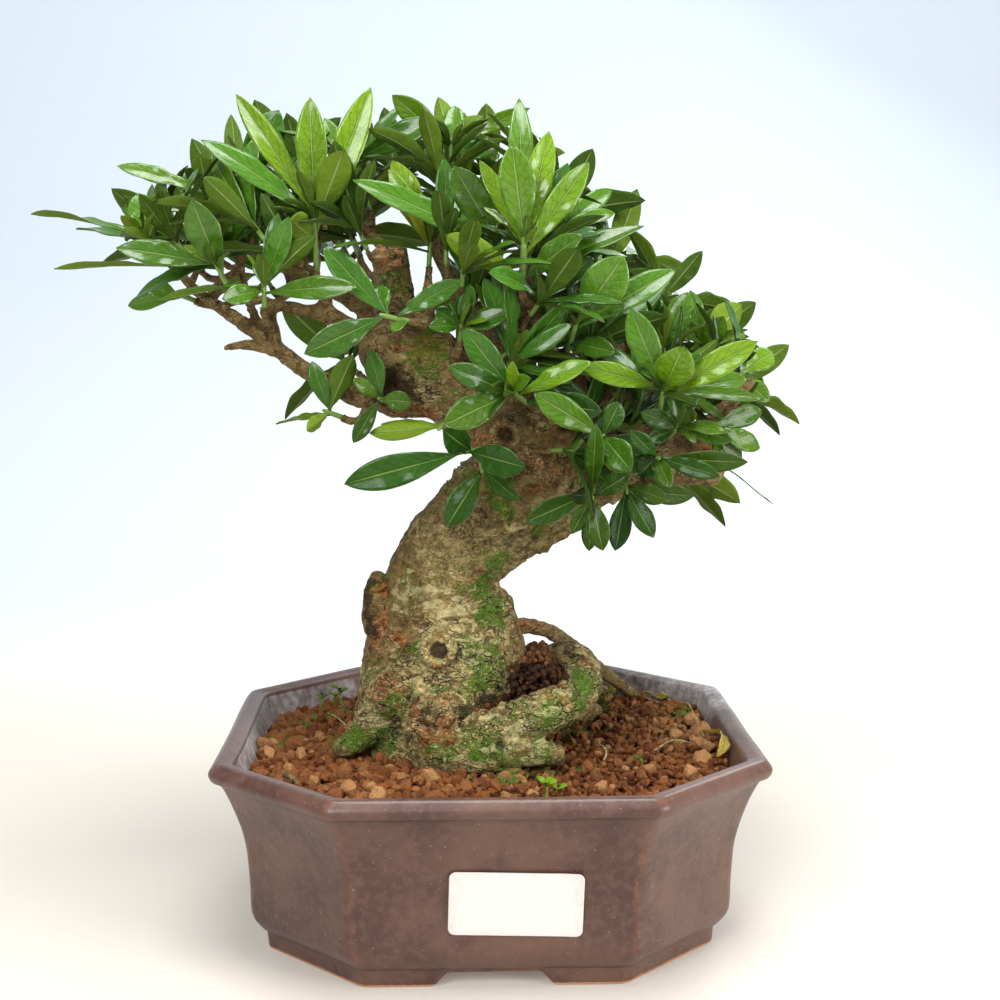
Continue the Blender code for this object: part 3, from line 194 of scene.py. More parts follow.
# Thinner wood: (across, down, depth mm, radius mm)
BRANCHES = {
    "low_left": [(404, 396, -4, 6), (378, 397, -5, 4.9), (352, 393, -5, 4.0), (328, 382, -5, 3.1),
                 (306, 371, -5, 2.9), (278, 350, -4, 2.7), (250, 329, -3, 2.4), (217, 305, -1, 2.1),
                 (194, 289, 1, 1.8), (178, 270, 0, 1.5), (168, 256, -2, 1.3)],
    "left_fork": [(276, 347, -4, 2.4), (273, 325, -6, 1.8), (271, 308, -9, 1.6), (267, 298, -13, 1.5)],
    "left_fork_up": [(266, 338, -3, 2.0), (254, 314, 1, 1.6), (246, 290, 6, 1.5), (240, 262, 10, 1.4),
                     (236, 236, 12, 1.3)],
    "upper_left": [(396, 350, -2, 6.2), (370, 338, -3, 4.2), (347, 326, -4, 3.3), (324, 313, -5, 3.0),
                   (300, 310, -5, 2.2), (281, 306, -6, 1.9), (262, 300, -8, 1.6)],
    "left_stem": [(327, 314, -5, 2.6), (325, 296, -6, 2.3), (323, 278, -7, 2.0)],
    "dead_twig": [(280, 352, -4, 2.4), (250, 345, -8, 1.9), (224, 348, -10, 1.0)],
    "low_spur": [(360, 398, -6, 2.6), (349, 411, -9, 1.7), (338, 415, -12, 1.4)],
    "front_stub": [(455, 356, -8, 4.2), (441, 338, -12, 3.5), (425, 320, -14, 3.0), (410, 302, -15, 2.6)],
    "centre_top": [(508, 320, 9, 3.6), (498, 285, 10, 2.9), (480, 240, 13, 2.3), (462, 205, 14, 1.9),
                   (453, 176, 14, 1.6)],
    "centre_front": [(506, 310, 9, 2.8), (503, 286, 2, 2.0), (501, 268, -6, 1.6)],
    "yellow_stem": [(446, 362, -9, 3.6), (434, 325, -9, 2.4), (429, 295, -8, 1.9), (428, 278, -6, 1.7)],
    "hero_twig": [(550, 410, -6, 4.8), (546, 355, -10, 2.7), (536, 320, -14, 2.1), (528, 296, -18, 1.8)],
    "pale_stub": [(556, 402, -8, 4.4), (552, 370, -9, 3.1), (549, 346, -10, 2.4)],
    "round_twig": [(585, 430, -6, 4.6), (580, 390, -11, 2.8), (573, 358, -16, 1.9)],
    "right_stub": [(652, 450, -10, 6), (666, 430, -20, 3.4), (668, 409, -26, 2.3)],
    "right_rise": [(655, 450, 6, 6), (672, 412, 10, 3.8), (690, 380, 13, 2.6), (701, 358, 13, 1.9)],
    "mid_rise": [(625, 455, 4, 5.6), (640, 420, 2, 3.6), (655, 388, 0, 2.6), (662, 368, -2, 1.9)],
    "dry_stub": [(690, 447, -6, 4.6), (714, 420, -10, 3.1), (734, 400, -12, 2.3), (752, 380, -14, 1.5)],
    "front_arm": [(562, 425, -18, 4.8), (549, 412, -26, 2.8), (536, 401, -31, 1.7)],
    "low_arm": [(508, 445, -14, 5.6), (492, 449, -24, 2.8), (480, 452, -30, 1.7)],
    "back_left": [(430, 365, 6, 7), (385, 322, 24, 4.2), (330, 288, 36, 2.9), (270, 262, 38, 2.1),
                  (225, 250, 34, 1.6)],
    "back_centre": [(520, 420, 12, 8), (490, 350, 34, 4.6), (455, 285, 44, 3.2), (425, 225, 46, 2.2)],
    "back_top": [(520, 385, 12, 6), (524, 320, 32, 3.8), (532, 270, 38, 2.7), (545, 240, 38, 2.0)],
    "back_right": [(580, 440, 12, 8), (600, 392, 36, 4.6), (620, 345, 46, 3.2), (636, 306, 46, 2.2)],
    "back_far": [(650, 457, 6, 7), (680, 422, 30, 3.8), (704, 396, 42, 2.6), (712, 382, 42, 1.9)],
    "back_low": [(600, 470, 10, 7), (622, 466, 32, 3.6), (642, 458, 46, 2.3)],
}


def seen(across, down, depth):
    """Place seen at a reading from the viewpoint, at a depth in mm behind the pot's middle."""
    right, up = (across - VIEW_CENTRE) / VIEW_FOCAL, (VIEW_CENTRE - down) / VIEW_FOCAL
    ray = FORWARD + RIGHT * right + UPWARD * up
    return EYE + ray * ((depth * MM - EYE.y) / ray.y)


def sight(across, down):
    """Direction from the eye through a reading."""
    return (seen(across, down, 0) - EYE).normalized()


def reading(place):
    """Where a place is seen from the viewpoint: across and down."""
    ray = place - EYE
    ahead = ray.dot(FORWARD)
    right, up = (VIEW_FOCAL * ray.dot(side) / ahead for side in (RIGHT, UPWARD))
    return VIEW_CENTRE + right, VIEW_CENTRE - up


def in_outline(x, y, outline):
    """Whether a point lies inside a closed outline."""
    inside = False
    for (x0, y0), (x1, y1) in zip(outline, outline[1:] + outline[:1]):
        if (y0 > y) != (y1 > y) and x < x0 + (x1 - x0) * (y - y0) / (y1 - y0):
            inside = not inside
    return inside


class Spray:
    """One green shoot with its leaves.

    heart: (across, down, depth mm) where the leaves meet; grows: direction of the shoot; length: mm.
    tips: (across, down, lean mm, width mm, show[, node]) of each leaf read from the viewpoint. Lean is how
    much deeper the tip lies than the heart, show is 1 where the upper face is seen, -1 for the underside and
    0 edge on, node is the place on the shoot. youth: how young each of them looks, from 0 dark and hard to 1
    fresh lime. ages: how far each has yellowed. fill: how many more leaves a rule adds. girth: radius in mm.
    """

    def __init__(self, name, heart, grows, length, tips=(), youth=(), ages=(), fill=0, girth=0.9):
        self.name = "spray_" + name
        self.heart = seen(*heart)
        self.grows = Vector(grows).normalized()
        self.length = length * MM
        self.tips, self.youth, self.ages = tips, youth, ages
        self.fill = fill
        self.girth = girth
        self.leaves = []

    @property
    def start(self):
        return self.heart - self.grows * self.length

    def aim(self, heading, opening):
        """Direction that opens away from the shoot, at a heading round it."""
        across = self.grows.cross(FORWARD).normalized()
        behind = self.grows.cross(across).normalized()
        out = across * math.cos(heading) + behind * math.sin(heading)
        return self.grows * math.cos(opening) + out * math.sin(opening)

    def stem(self, radii, steps):
        """Route and radii of the shoot and its bud."""
        return smooth_points([self.start, self.heart, self.heart + self.grows * BUD_LENGTH], radii, steps)


FRONT_SPRAYS = [
    Spray("far_left", (147, 238, -6), (-.6, -.2, .75), 8,
          [(31, 214, 0, 7.5, .35), (76, 229, 12, 7, .3), (138, 193, 6, 9.5, .9), (166, 190, -4, 8, -.85)],
          (.3, .2, .4, .4)),
    Spray("left_low", (216, 264, -16), (-.35, -.5, .8), 8,
          [(116, 248, -8, 8.5, .9), (54, 269, 0, 6, .25), (192, 199, -10, 11, .95), (176, 259, 6, 5, .5)],
          (.25, .35, .25, .1), fill=1),
    Spray("left_olive", (222, 254, 2), (.1, -.1, 1), 7,
          [(246, 187, -4, 10, .9), (225, 212, -14, 7, .8)], (.3, .35), fill=1),
    Spray("left_middle", (264, 284, -22), (.05, -.4, .9), 8,
          [(316, 236, -8, 6.5, -.6), (289, 217, -4, 7, .75), (357, 287, -10, 7.5, .85),
           (159, 301, -12, 5.5, .2), (222, 299, -10, 6.5, .7), (278, 213, 4, 5.5, .7)],
          (.1, .15, .3, .2, .3, .1)),
    Spray("top_left", (314, 212, -8), (-.02, -.15, 1), 19,
          [(236, 94, 2, 8, .8), (310, 97, -4, 10, .95), (371, 87, 2, 10, .9), (201, 140, -6, 8.5, .75),
           (344, 150, -10, 10.5, -.85), (362, 168, 6, 8, -.6), (290, 220, -12, 9.5, -.9, .5)],
          (.85, .75, .9, .2, .5, .45, .5), girth=1.0),
    Spray("yellow", (430, 242, -4), (.05, -.2, 1), 8,
          [(392, 160, -2, 9, .9), (388, 169, -12, 7, .85), (333, 248, -18, 7.5, -.75),
           (453, 206, 8, 6, -.7), (400, 198, -8, 4.5, .6)], (.9, .8, .2, .5, .9), ages=(.05, 0, 0, .6, .35)),
    Spray("top_centre", (451, 144, 14), (0, .1, 1), 7,
          [(392, 95, -6, 8.5, .9), (530, 108, 0, 5.5, .4), (455, 106, 6, 7.5, .8), (483, 116, 12, 7, -.8),
           (497, 150, -6, 8, .8), (438, 97, 16, 7, -.8)], (.5, .5, .4, .3, .15, .4)),
    Spray("top_hero", (524, 240, -22), (.02, -.15, 1), 14,
          [(512, 144, -6, 11.5, .95), (549, 131, 6, 9, .9), (589, 162, 0, 8.5, .85), (479, 160, 2, 6, .75),
           (519, 98, 14, 8, .85), (445, 235, -6, 9, -.85, .1), (644, 226, 2, 7.5, .6, .1),
           (583, 235, -10, 9, .8, .1)], (.5, .9, .7, .7, .4, .75, .3, .3), girth=1.3),
    Spray("top_middle", (499, 242, -12), (-.05, -.2, 1), 8,
          [(453, 166, -8, 11, .95), (352, 180, -10, 8.5, .75), (543, 202, -12, 5, .5)], (.3, .25, .5)),
    Spray("top_right_back", (553, 232, 10), (.3, .1, .9), 8,
          [(615, 213, 4, 6, .5), (612, 189, 8, 7, .65)], (.4, .3), fill=1),
    Spray("round", (576, 324, -20), (.25, -.3, .9), 10,
          [(624, 256, -8, 14, .95), (676, 270, 4, 9.5, .8), (640, 373, -14, 6.5, .55, .3),
           (545, 304, 4, 9, -.8, .4), (616, 353, -10, 7, .8, .3)], (.38, .25, .15, .3, .2), girth=1.0),
    Spray("right_hero", (663, 388, -34), (.05, -.4, .9), 9,
          [(630, 308, -4, 9.5, .95), (684, 345, -12, 12, .9), (758, 341, -6, 8.5, .9),
           (580, 366, -4, 7, .75), (747, 379, 6, 9, .85), (762, 400, 0, 5.5, .6), (696, 406, -10, 5, -.6)],
          (.3, .65, .9, .7, .4, .3, .1)),
    Spray("right_top", (704, 344, 12), (.3, .2, .9), 7,
          [(742, 304, 6, 11.5, -.85), (690, 290, 0, 6, .8), (724, 316, -8, 8.5, .85),
           (676, 330, -10, 6, .6)], (.55, .3, .55, .3)),
    Spray("right_mid_top", (664, 350, -2), (0, 0, 1), 7,
          [(688, 292, 0, 9, .9), (650, 293, 6, 9, .85), (617, 306, 2, 7.5, .85)], (.3, .15, .4)),
    Spray("far_right", (740, 374, 2), (.8, -.1, .4), 8,
          [(772, 352, 10, 8, .75), (769, 402, -2, 7, .6)], (.7, .4), fill=1),
    Spray("right_low", (678, 426, -30), (.3, -.6, .5), 7,
          [(732, 441, -4, 6.5, .85), (692, 408, -8, 6, -.6), (646, 440, -6, 5, .7), (640, 412, 2, 6, .8)],
          (.2, .1, .05, .1)),
    Spray("right_edge", (712, 428, -26), (.7, -.6, -.1), 6,
          [(760, 448, 6, 7, .8), (762, 410, 10, 7, .7), (742, 458, 4, 5.5, .85), (724, 470, -4, 4, .7)],
          (.4, .25, .3, .3)),
    Spray("right_under", (658, 458, -34), (.1, -.9, -.1), 7,
          [(748, 462, -4, 7, .85), (720, 476, -8, 6, .8), (671, 488, -6, 6, .9), (630, 430, -6, 6, .7),
           (640, 474, 4, 8, .8)], (.2, .05, .3, 0, 0)),
    Spray("oval", (603, 436, -38), (0, -.9, .2), 6,
          [(632, 471, -10, 10, .95), (620, 402, 0, 7, .8)], (.2, .1), fill=1),
    Spray("low_right", (626, 490, -28), (.1, -.8, -.5), 7,
          [(615, 551, -4, 7.5, .9), (654, 538, -4, 7, .85), (668, 500, -2, 6.5, .8), (694, 496, 6, 7, .85)],
          (0, .1, .3, .2)),
    Spray("low_middle", (592, 497, -34), (-.05, -.8, -.4), 7,
          [(603, 551, -6, 7.5, .9), (589, 551, 4, 6, .8), (526, 522, -4, 7.5, .9), (572, 533, 2, 5.5, .8),
           (596, 423, -2, 6, .85), (630, 474, -4, 6.5, .8), (571, 495, -10, 6, .85)],
          (.25, .15, .15, .2, .2, .15, .1)),
    Spray("front_middle", (513, 392, -38), (-.55, -.6, .45), 8,
          [(443, 426, -8, 10, .95), (463, 328, -2, 8.5, .85), (447, 366, -8, 7.5, .8),
           (513, 361, -6, 4.5, .85), (592, 362, -6, 7, .8), (602, 411, -2, 9.5, .9, .2)],
          (.3, .1, .1, .95, .7, 0)),
    Spray("low_left", (465, 452, -34), (-.6, -.6, -.05), 7,
          [(344, 484, -4, 10.5, .95), (526, 467, -16, 10, .95), (443, 430, -12, 9, .85)], (.05, 0, 0)),
    Spray("low_front", (482, 470, -28), (0, -.8, -.3), 6,
          [(446, 527, -8, 9, .9), (520, 500, -10, 5.5, .6)], (.1, .1)),
    Spray("pale_under", (441, 427, -22), (-.5, -.6, -.4), 6,
          [(369, 433, 0, 6, -.9), (381, 424, 8, 6, -.75)], (.75, .7)),
    Spray("left_under", (380, 399, -20), (-.2, -.8, .1), 6,
          [(353, 443, -4, 5.5, .85), (353, 378, -4, 4.5, .8), (371, 350, 2, 6.5, .8),
           (412, 402, -2, 7, .8)], (.2, .4, .1, .3)),
    Spray("left_hanging", (328, 412, -14), (-.8, -.3, .35), 5,
          [(353, 355, -4, 8, -.9), (312, 361, 0, 6, .8), (276, 424, 2, 4.5, .45), (307, 431, -6, 5, -.7)],
          (.2, .15, .6, .7)),
    Spray("left_front", (385, 316, -28), (-.9, -.3, .2), 8,
          [(304, 354, -6, 9.5, .95), (323, 246, -4, 8.5, .9), (462, 280, 0, 6.5, .8), (379, 285, 6, 6, .8),
           (395, 333, -8, 5, .8, .2)], (.15, .05, .1, .15, .3)),
    Spray("centre_small", (461, 326, -24), (.1, -.5, .8), 6,
          [(434, 309, 0, 6.5, .8), (511, 312, -4, 7.5, .85), (470, 284, 6, 6.5, .7), (428, 327, -4, 5, .7)],
          (.1, .15, .15, .15)),
    Spray("lime_back", (601, 338, 22), (.05, .1, 1), 7,
          [(607, 300, 0, 9, .9)], (.85,), fill=2),
    Spray("far_left_low", (178, 294, 4), (-.7, -.3, .3), 6,
          [(149, 288, -2, 7, .85), (128, 306, 8, 5.5, .7)], (.3, .3)),
    Spray("left_high", (208, 194, 6), (-.3, 0, .9), 8,
          [(117, 166, 0, 6, .55), (200, 154, -8, 8.5, -.85), (232, 166, 8, 6.5, .8), (168, 211, -10, 6, .9),
           (178, 181, 4, 9, .85)], (.5, .3, .3, .4, .4)),
    Spray("left_dark", (240, 186, 10), (.2, .1, 1), 7,
          [(279, 110, 0, 12, .9), (231, 114, 12, 6.5, -.9)], (.1, .2), fill=1),
    Spray("left_back_grey", (352, 162, 10), (.1, 0, 1), 7,
          [(437, 119, -8, 9, .9), (402, 106, 8, 5, .5), (324, 118, 4, 5.5, .7)], (.2, .15, .4), fill=2),
]
BACK_HEARTS = [(182, 246, 30), (236, 214, 42), (292, 182, 50), (262, 272, 60), (340, 236, 58),
               (396, 172, 54), (446, 246, 74), (488, 176, 44), (560, 212, 50), (500, 316, 72),
               (610, 266, 62), (664, 296, 52), (600, 356, 80), (700, 342, 56), (732, 384, 48),
               (650, 412, 76), (556, 424, 66), (668, 462, 52), (410, 330, 54), (345, 360, 30)]
BACK_CENTRE = (450, 360, 0)
BACK_LIFT = Vector((0, 0.3, 0.7))
BACK_FILL = 5
BACK_SHOOT = 9


def back_sprays():
    """Sprays on the far side, which grow up and away from the middle of the crown."""
    middle = seen(*BACK_CENTRE)
    return [Spray("back_" + letter, heart, (seen(*heart) - middle).normalized() + BACK_LIFT, BACK_SHOOT,
                  fill=BACK_FILL)
            for letter, heart in zip("abcdefghijklmnopqrst", BACK_HEARTS)]


def smooth_points(points, radii, per_span):
    """Points and radii on a Catmull-Rom curve through the points."""
    last = len(points) - 1
    route, sizes = [], []
    for i in range(last):
        a, b, c, d = (points[min(max(k, 0), last)] for k in (i - 1, i, i + 1, i + 2))
        for step in range(per_span):
            t = step / per_span
            route.append(0.5 * (2 * b + (c - a) * t + (2 * a - 5 * b + 4 * c - d) * t * t
                                + (3 * b - a - 3 * c + d) * t ** 3))
            sizes.append(radii[i] + (radii[i + 1] - radii[i]) * t)
    return route + [points[last]], sizes + [radii[last]]


def smooth_route(rows, per_span):
    """The same through readings with a depth and a radius."""
    return smooth_points([seen(*row[:3]) for row in rows], [row[3] for row in rows], per_span)


def bow(start, pull, end, t):
    """Place at t on the curve from start to end that is drawn towards pull."""
    return start * (1 - t) ** 2 + pull * (2 * t * (1 - t)) + end * t * t


def soften(low, high, value):
    """0 at low, 1 at high and smooth between; low may be the greater."""
    share = max(0.0, min(1.0, (value - low) / (high - low)))
    return share * share * (3 - 2 * share)


def turns(count):
    """Angles of a full turn in equal steps."""
    return [2 * math.pi * k / count for k in range(count)]


def ahead_at(route, i):
    return route[min(i + 1, len(route) - 1)] - route[max(i - 1, 0)]


def ring_faces(rings, count, start=0, inward=False):
    """Four-sided faces between rings of points that follow each other."""
    faces = []
    for i in range(rings - 1):
        for k in range(count):
            a, b = start + i * count + k, start + i * count + (k + 1) % count
            faces.append((b, a, a + count, b + count) if inward else (a, b, b + count, a + count))
    return faces


def capped(rings):
    """Points and faces of a solid through rings of points, with a flat cap at each end."""
    count, last = len(rings[0]), (len(rings) - 1) * len(rings[0])
    caps = [tuple(reversed(range(count))), tuple(range(last, last + count))]
    return [p for ring in rings for p in ring], ring_faces(len(rings), count) + caps


class Leaf:
    """A blade on a bent midrib: half width, fold and twist along it come from formulas."""

    def __init__(self, base, tip, face, width, twist=0.0, arch=LEAF_ARCH):
        self.base = base
        self.tip = tip
        self.length = (tip - base).length
        along = (tip - base).normalized()
        self.face = (face - along * face.dot(along)).normalized()
        self.width = width
        self.twist = twist
        self.bend = (base + tip) / 2 + self.face * (arch * self.length)

    def half_width(self, t):
        shape = t ** 1.2 * max(1 - t, 0) ** 0.8 / 0.2603
        return max(self.width / 2 * shape, PETIOLE_HALF * (1 - t))

    def frame(self, t):
        """Point on the midrib, the direction to its side and the direction that its face looks."""
        along = ((self.bend - self.base) * (1 - t) + (self.tip - self.bend) * t).normalized()
        side = along.cross(self.face).normalized()
        turned = Matrix.Rotation(self.twist * t, 3, along) @ side
        return bow(self.base, self.bend, self.tip, t), turned, turned.cross(along)

    def places(self, *shares):
        return [self.frame(t)[0] for t in shares]

    def guard(self, skip=0, grow=0.0):
        """Closed blade that others keep clear of: a chevron at each station, drawn to a point."""
        points, faces = [], []
        for t in (LARGE_LEAF if self.length > LARGE_LEAF_LENGTH else SMALL_LEAF)[skip:]:
            point, side, face = self.frame(t)
            half = self.half_width(t)
            lift = face * (LEAF_FOLD * half * min(t * 4, 1))
            thick = face * (BLADE_THICKNESS / 2 + grow)
            reach = side * (half + grow)
            points += [point - reach + lift, point + thick, point + reach + lift, point - thick]
        points.append(self.tip + (self.tip - self.bend).normalized() * grow)
        end = len(points) - 1
        faces += [(0, 1, 3), (1, 2, 3)]
        for i in range(0, end - 4, 4):
            j = i + 4
            for edge, low, high in ((0, 3, 1), (2, 1, 3)):
                faces += [(i + edge, j + high, i + high), (i + edge, j + edge, j + high),
                          (i + edge, i + low, j + low), (i + edge, j + low, j + edge)]
        faces += [(end - 4 + k, end, end - 4 + (k + 1) % 4) for k in range(4)]
        return Guard(points, faces)


class Guard:
    """A surface that leaves keep clear of."""

    def __init__(self, points, faces):
        self.low, self.high = ([edge(p[k] for p in points) for k in range(3)] for edge in (min, max))
        self.tree = BVHTree.FromPolygons(points, faces)

    def meets(self, other):
        if any(self.low[k] > other.high[k] or other.low[k] > self.high[k] for k in range(3)):
            return False
        return bool(self.tree.overlap(other.tree))


def tube_guard(route, radii, room=0.0, sides=6):
    """Open tube round a route, for measuring clearance."""
    points = []
    for i, point in enumerate(route):
        turn = ahead_at(route, i).to_track_quat("Z", "Y")
        points += [point + turn @ (Vector((math.cos(angle), math.sin(angle), 0)) * (radii[i] * MM + room))
                   for angle in turns(sides)]
    return Guard(points, ring_faces(len(route), sides))


class Crown:
    """Places every leaf clear of the wood and of the other sprays."""

    def __init__(self, sprays, wood):
        self.wood = wood
        self.sprays, self.shoots, self.blades = [], {}, {}
        for spray in sprays:
            self.enter(spray, tube_guard([spray.start, spray.heart], [SHOOT_RADIUS] * 2, LEAF_CLEARANCE))

    def enter(self, spray, shoot):
        self.sprays.append(spray)
        self.shoots[spray.name] = shoot
        self.blades[spray.name] = []

    def drop_last(self):
        name = self.sprays.pop().name
        del self.shoots[name], self.blades[name]

    def is_clear(self, spray, leaf):
        whole, outer = leaf.guard(0, LEAF_CLEARANCE), leaf.guard(1, LEAF_CLEARANCE)
        if any(whole.meets(guard) for guard in self.wood):
            return False
        for other in self.sprays:
            if other is spray:
                if any(outer.meets(blade) for _, blade in self.blades[other.name]):
                    return False
            elif whole.meets(self.shoots[other.name]):
                return False
            elif any(whole.meets(blade) for blade, _ in self.blades[other.name]):
                return False
        return True

    def add(self, spray, choices):
        """Grows the first choice that is clear; returns whether one was."""
        for leaf in choices:
            if self.is_clear(spray, leaf):
                self.blades[spray.name].append((leaf.guard(), leaf.guard(1)))
                spray.leaves.append(leaf)
                return True
        return False

    def grow(self):
        for spray in self.sprays:
            for rank, row in enumerate(spray.tips):
                self.add(spray, read_leaf(spray, rank, row))
        for spray in self.sprays:
            rng = random.Random(f"{SEED} {spray.name}")
            grown = 0
            for rank in range(spray.fill * 3):
                if grown < spray.fill and self.add(spray, rule_leaf(spray, rank, rng)):
                    grown += 1


def read_leaf(spray, rank, row):
    """Choices for a leaf read from the viewpoint: its tip keeps its reading, depth and roll may change."""
    across, down, lean, width, show = row[:5]
    node = row[5] if len(row) > 5 else NODES[rank % len(NODES)]
    base = spray.start.lerp(spray.heart, node)
    to_eye = (EYE - base).normalized()
    rng = random.Random(f"{SEED} {spray.name} {rank}")
    twist = rng.uniform(-0.5, 0.5) + (1.3 if abs(show) < 0.5 else 0)
    arch = rng.uniform(0.06, 0.13)
    for size in (1, 0.93, 0.85):
        for shift in (0, -4, 4, -8, 8, -12, 12, -17, 17, -22, 22):
            tip = seen(across, down, spray.heart.y / MM + lean + shift)
            tip = base + (tip - base) * size
            for turn in (0, 0.25, -0.25):
                shown = max(-1, min(1, show + turn))
                face = to_eye * shown + spray.grows * (1 - abs(shown) + 0.08)
                yield Leaf(base, tip, face, width * MM * size, twist, arch)


def rule_leaf(spray, rank, rng):
    """Choices for a leaf in the crossed pairs of the shoot: wide ones low on it, upright ones at its top."""
    heading = rank // 2 * math.pi / 2 + (rank % 2) * math.pi + rng.uniform(-0.3, 0.3)
    opening = max(0.5, 1.25 - 0.25 * (rank % 4) + rng.uniform(-0.12, 0.12))
    length = rng.uniform(23, 35) * MM
    width = length * rng.uniform(0.29, 0.35)
    twist = rng.uniform(-0.6, 0.6)
    base = spray.start.lerp(spray.heart, NODES[rank % len(NODES)])
    for size in (1, 0.85, 0.7):
        for turn in (0, 0.35, -0.35, 0.7, -0.7):
            for tilt in (0, 0.25, -0.25):
                tip = base + spray.aim(heading + turn, opening + tilt) * length * size
                yield Leaf(base, tip, spray.grows - FACE_DROP, width * size, twist)


def tender_leaf(spray, rank, rng):
    """Choices for a small young leaf near the top of a shoot."""
    heading = rank * 2.4 + rng.uniform(-0.5, 0.5)
    opening = rng.uniform(0.25, 1.25)
    length = rng.uniform(9, 19) * MM
    width = length * rng.uniform(0.24, 0.32)
    base = spray.start.lerp(spray.heart, rng.uniform(0.75, 1.0))
    for size in (1, 0.8, 0.62):
        for turn in (0, 0.5, -0.5, 1.1, -1.1):
            tip = base + spray.aim(heading + turn, opening) * length * size
            if in_outline(*reading(tip), LEAFY) or spray.name == "spray_front_middle":
                yield Leaf(base, tip, spray.grows - FACE_DROP, width * size, rng.uniform(-0.5, 0.5))


def inner_leaf(spray, rank, rng):
    """Slimmer leaves by the same rule, kept where the crown is thick."""
    for leaf in rule_leaf(spray, rank, rng):
        leaf.width *= INNER_SLIMNESS
        if all(in_outline(*reading(place), LEAFY) for place in leaf.places(0.35, 0.7, 1.0)):
            yield leaf


def branch_routes(sprays):
    """Fine routes of the branches, each cut back where it would run into a shoot."""
    routes = {}
    for name, rows in BRANCHES.items():
        route, radii = smooth_route(rows, FINE_STEPS)
        while any((route[-1] - spray.start).length < TIP_ROOM for spray in sprays):
            route.pop()
            radii.pop()
        routes[name] = (route, radii)
    return routes


def twig_route(spray, carriers, shoots):
    """Bent route from the nearest suitable wood to just under the shoot."""
    end = spray.start - spray.grows * SEAT_GAP
    best = None
    for route, radii in carriers:
        for point, radius in zip(route, radii):
            gap = end - point
            turn = 1 - gap.normalized().dot(spray.grows)
            cost = gap.length * (1 + turn) + max(0, turn - 0.4) * 0.06 + max(0, 0.007 - gap.length) * 5
            if best is None or cost < best[0]:
                best = (cost, point, radius)
    _, root, radius = best
    reach = (end - root).length
    straight = end - spray.grows * min(0.003, reach * 0.25)
    root_radius = max(TWIG_ROOT_RADII[0], min(TWIG_ROOT_RADII[1], radius * 0.75))
    steps = (0, 0.35, 0.7, 1) if reach > 0.020 else (0, 0.5, 1)
    radii = [root_radius + (SHOOT_RADIUS - root_radius) * t for t in steps] + [SHOOT_RADIUS]
    for bulge in ((0, 0, 0), (0, 0, -1), (1, 0, 0), (-1, 0, 0), (0, 1, 0), (0, -1, 0), (0, 0, 1)):
        pull = straight - spray.grows * (reach * 0.35) + Vector(bulge) * (reach * 0.2)
        route = [bow(root, pull, straight, t) for t in steps] + [end]
        guard = tube_guard(route, radii, LEAF_CLEARANCE)
        if not any(guard.meets(shoot) for name, shoot in shoots.items() if name != spray.name):
            break
    return route, radii


def wall_half(height):
    """Half width of the pot's outside at a height."""
    for (low_half, low), (high_half, high) in zip(POT_OUTSIDE, POT_OUTSIDE[1:]):
        if low * MM <= height <= high * MM:
            share = (height / MM - low) / (high - low)
            return (low_half + (high_half - low_half) * share) * MM
    return POT_HALF


def wall_reach(angle, half):
    """How far the pot's eight-sided outline is from the middle, in a direction."""
    c, s = abs(math.cos(angle)), abs(math.sin(angle))
    cut = half * (POT_HALF + POT_FACE_HALF) / POT_HALF
    return min(half / max(c, 1e-6), half / max(s, 1e-6), cut / (c + s))


def past_wall(x, y, half, room=0.0):
    return math.hypot(x, y) > wall_reach(math.atan2(y, x), half) - room


def soil_height(x, y):
    """Level of the soil: lower at the back left, mounded round the trunk."""
    trunk = seen(*TRUNK_FOOT)
    away = math.hypot(x - trunk.x, y - trunk.y)
    mound = SOIL_MOUND * math.exp(-(away / SOIL_MOUND_REACH) ** 2 * 2)
    back_left = max(0, min(1, 0.5 + (y - x) / (4 * POT_HALF)))
    return SOIL_LEVEL - SOIL_DIP * back_left ** 2 + mound


def soil_top(x, y):
    """Level of the loose top of the soil, heaped at the right."""
    heap = math.exp(-(math.hypot(x - HEAP_AT[0], y - HEAP_AT[1]) / HEAP_REACH) ** 2)
    return soil_height(x, y) + HEAP_HEIGHT * heap + 1.1 * MM * noise.noise(Vector((x, y, 0)) / (9 * MM))


def on_soil(across, down, lift=0.0):
    """Place on the soil that is seen at a reading, lifted by so many mm."""
    ray = sight(across, down)
    place = EYE.copy()
    for _ in range(12):
        place = place + ray * ((place.z - soil_top(place.x, place.y)) / -ray.z)
    away = math.hypot(place.x, place.y)
    limit = wall_reach(math.atan2(place.y, place.x), SOIL_EDGE)
    if away > limit:
        x, y = place.x * limit / away, place.y * limit / away
        place = Vector((x, y, 0))
        place.z = soil_top(place.x, place.y)
    return place + UP * (lift * MM)


class Signal:
    """A value on its way to a shader; arithmetic on it adds the nodes that work it out."""

    def __init__(self, finish, socket):
        self.finish = finish
        self.socket = socket

    def maths(self, operation, *values):
        return self.finish.node("ShaderNodeMath", {"operation": operation}, values)

    def __abs__(self):
        return self.maths("ABSOLUTE", self)

    def fraction(self):
        return self.maths("FRACT", self)

    def upto(self, limit):
        return self.maths("MINIMUM", self, limit)

    def above(self, low, high):
        """0 below low, 1 above high, smooth between; the two may be the other way round."""
        inputs = {"Value": self, "From Min": low, "From Max": high}
        return self.finish.node("ShaderNodeMapRange", {"interpolation_type": "SMOOTHSTEP"}, inputs)

    def channel(self, which):
        """Red, green or blue of a colour by number, or X, Y or Z of a place by letter."""
        kind = "ShaderNodeSeparateXYZ" if which in ("X", "Y", "Z") else "ShaderNodeSeparateColor"
        return self.finish.node(kind, {}, {0: self}, which)


def arithmetic(operation, reflected):
    """A method that works out an operation of a signal with another value, or the other way round."""
    def work(signal, other):
        return signal.maths(operation, *((other, signal) if reflected else (signal, other)))
    return work


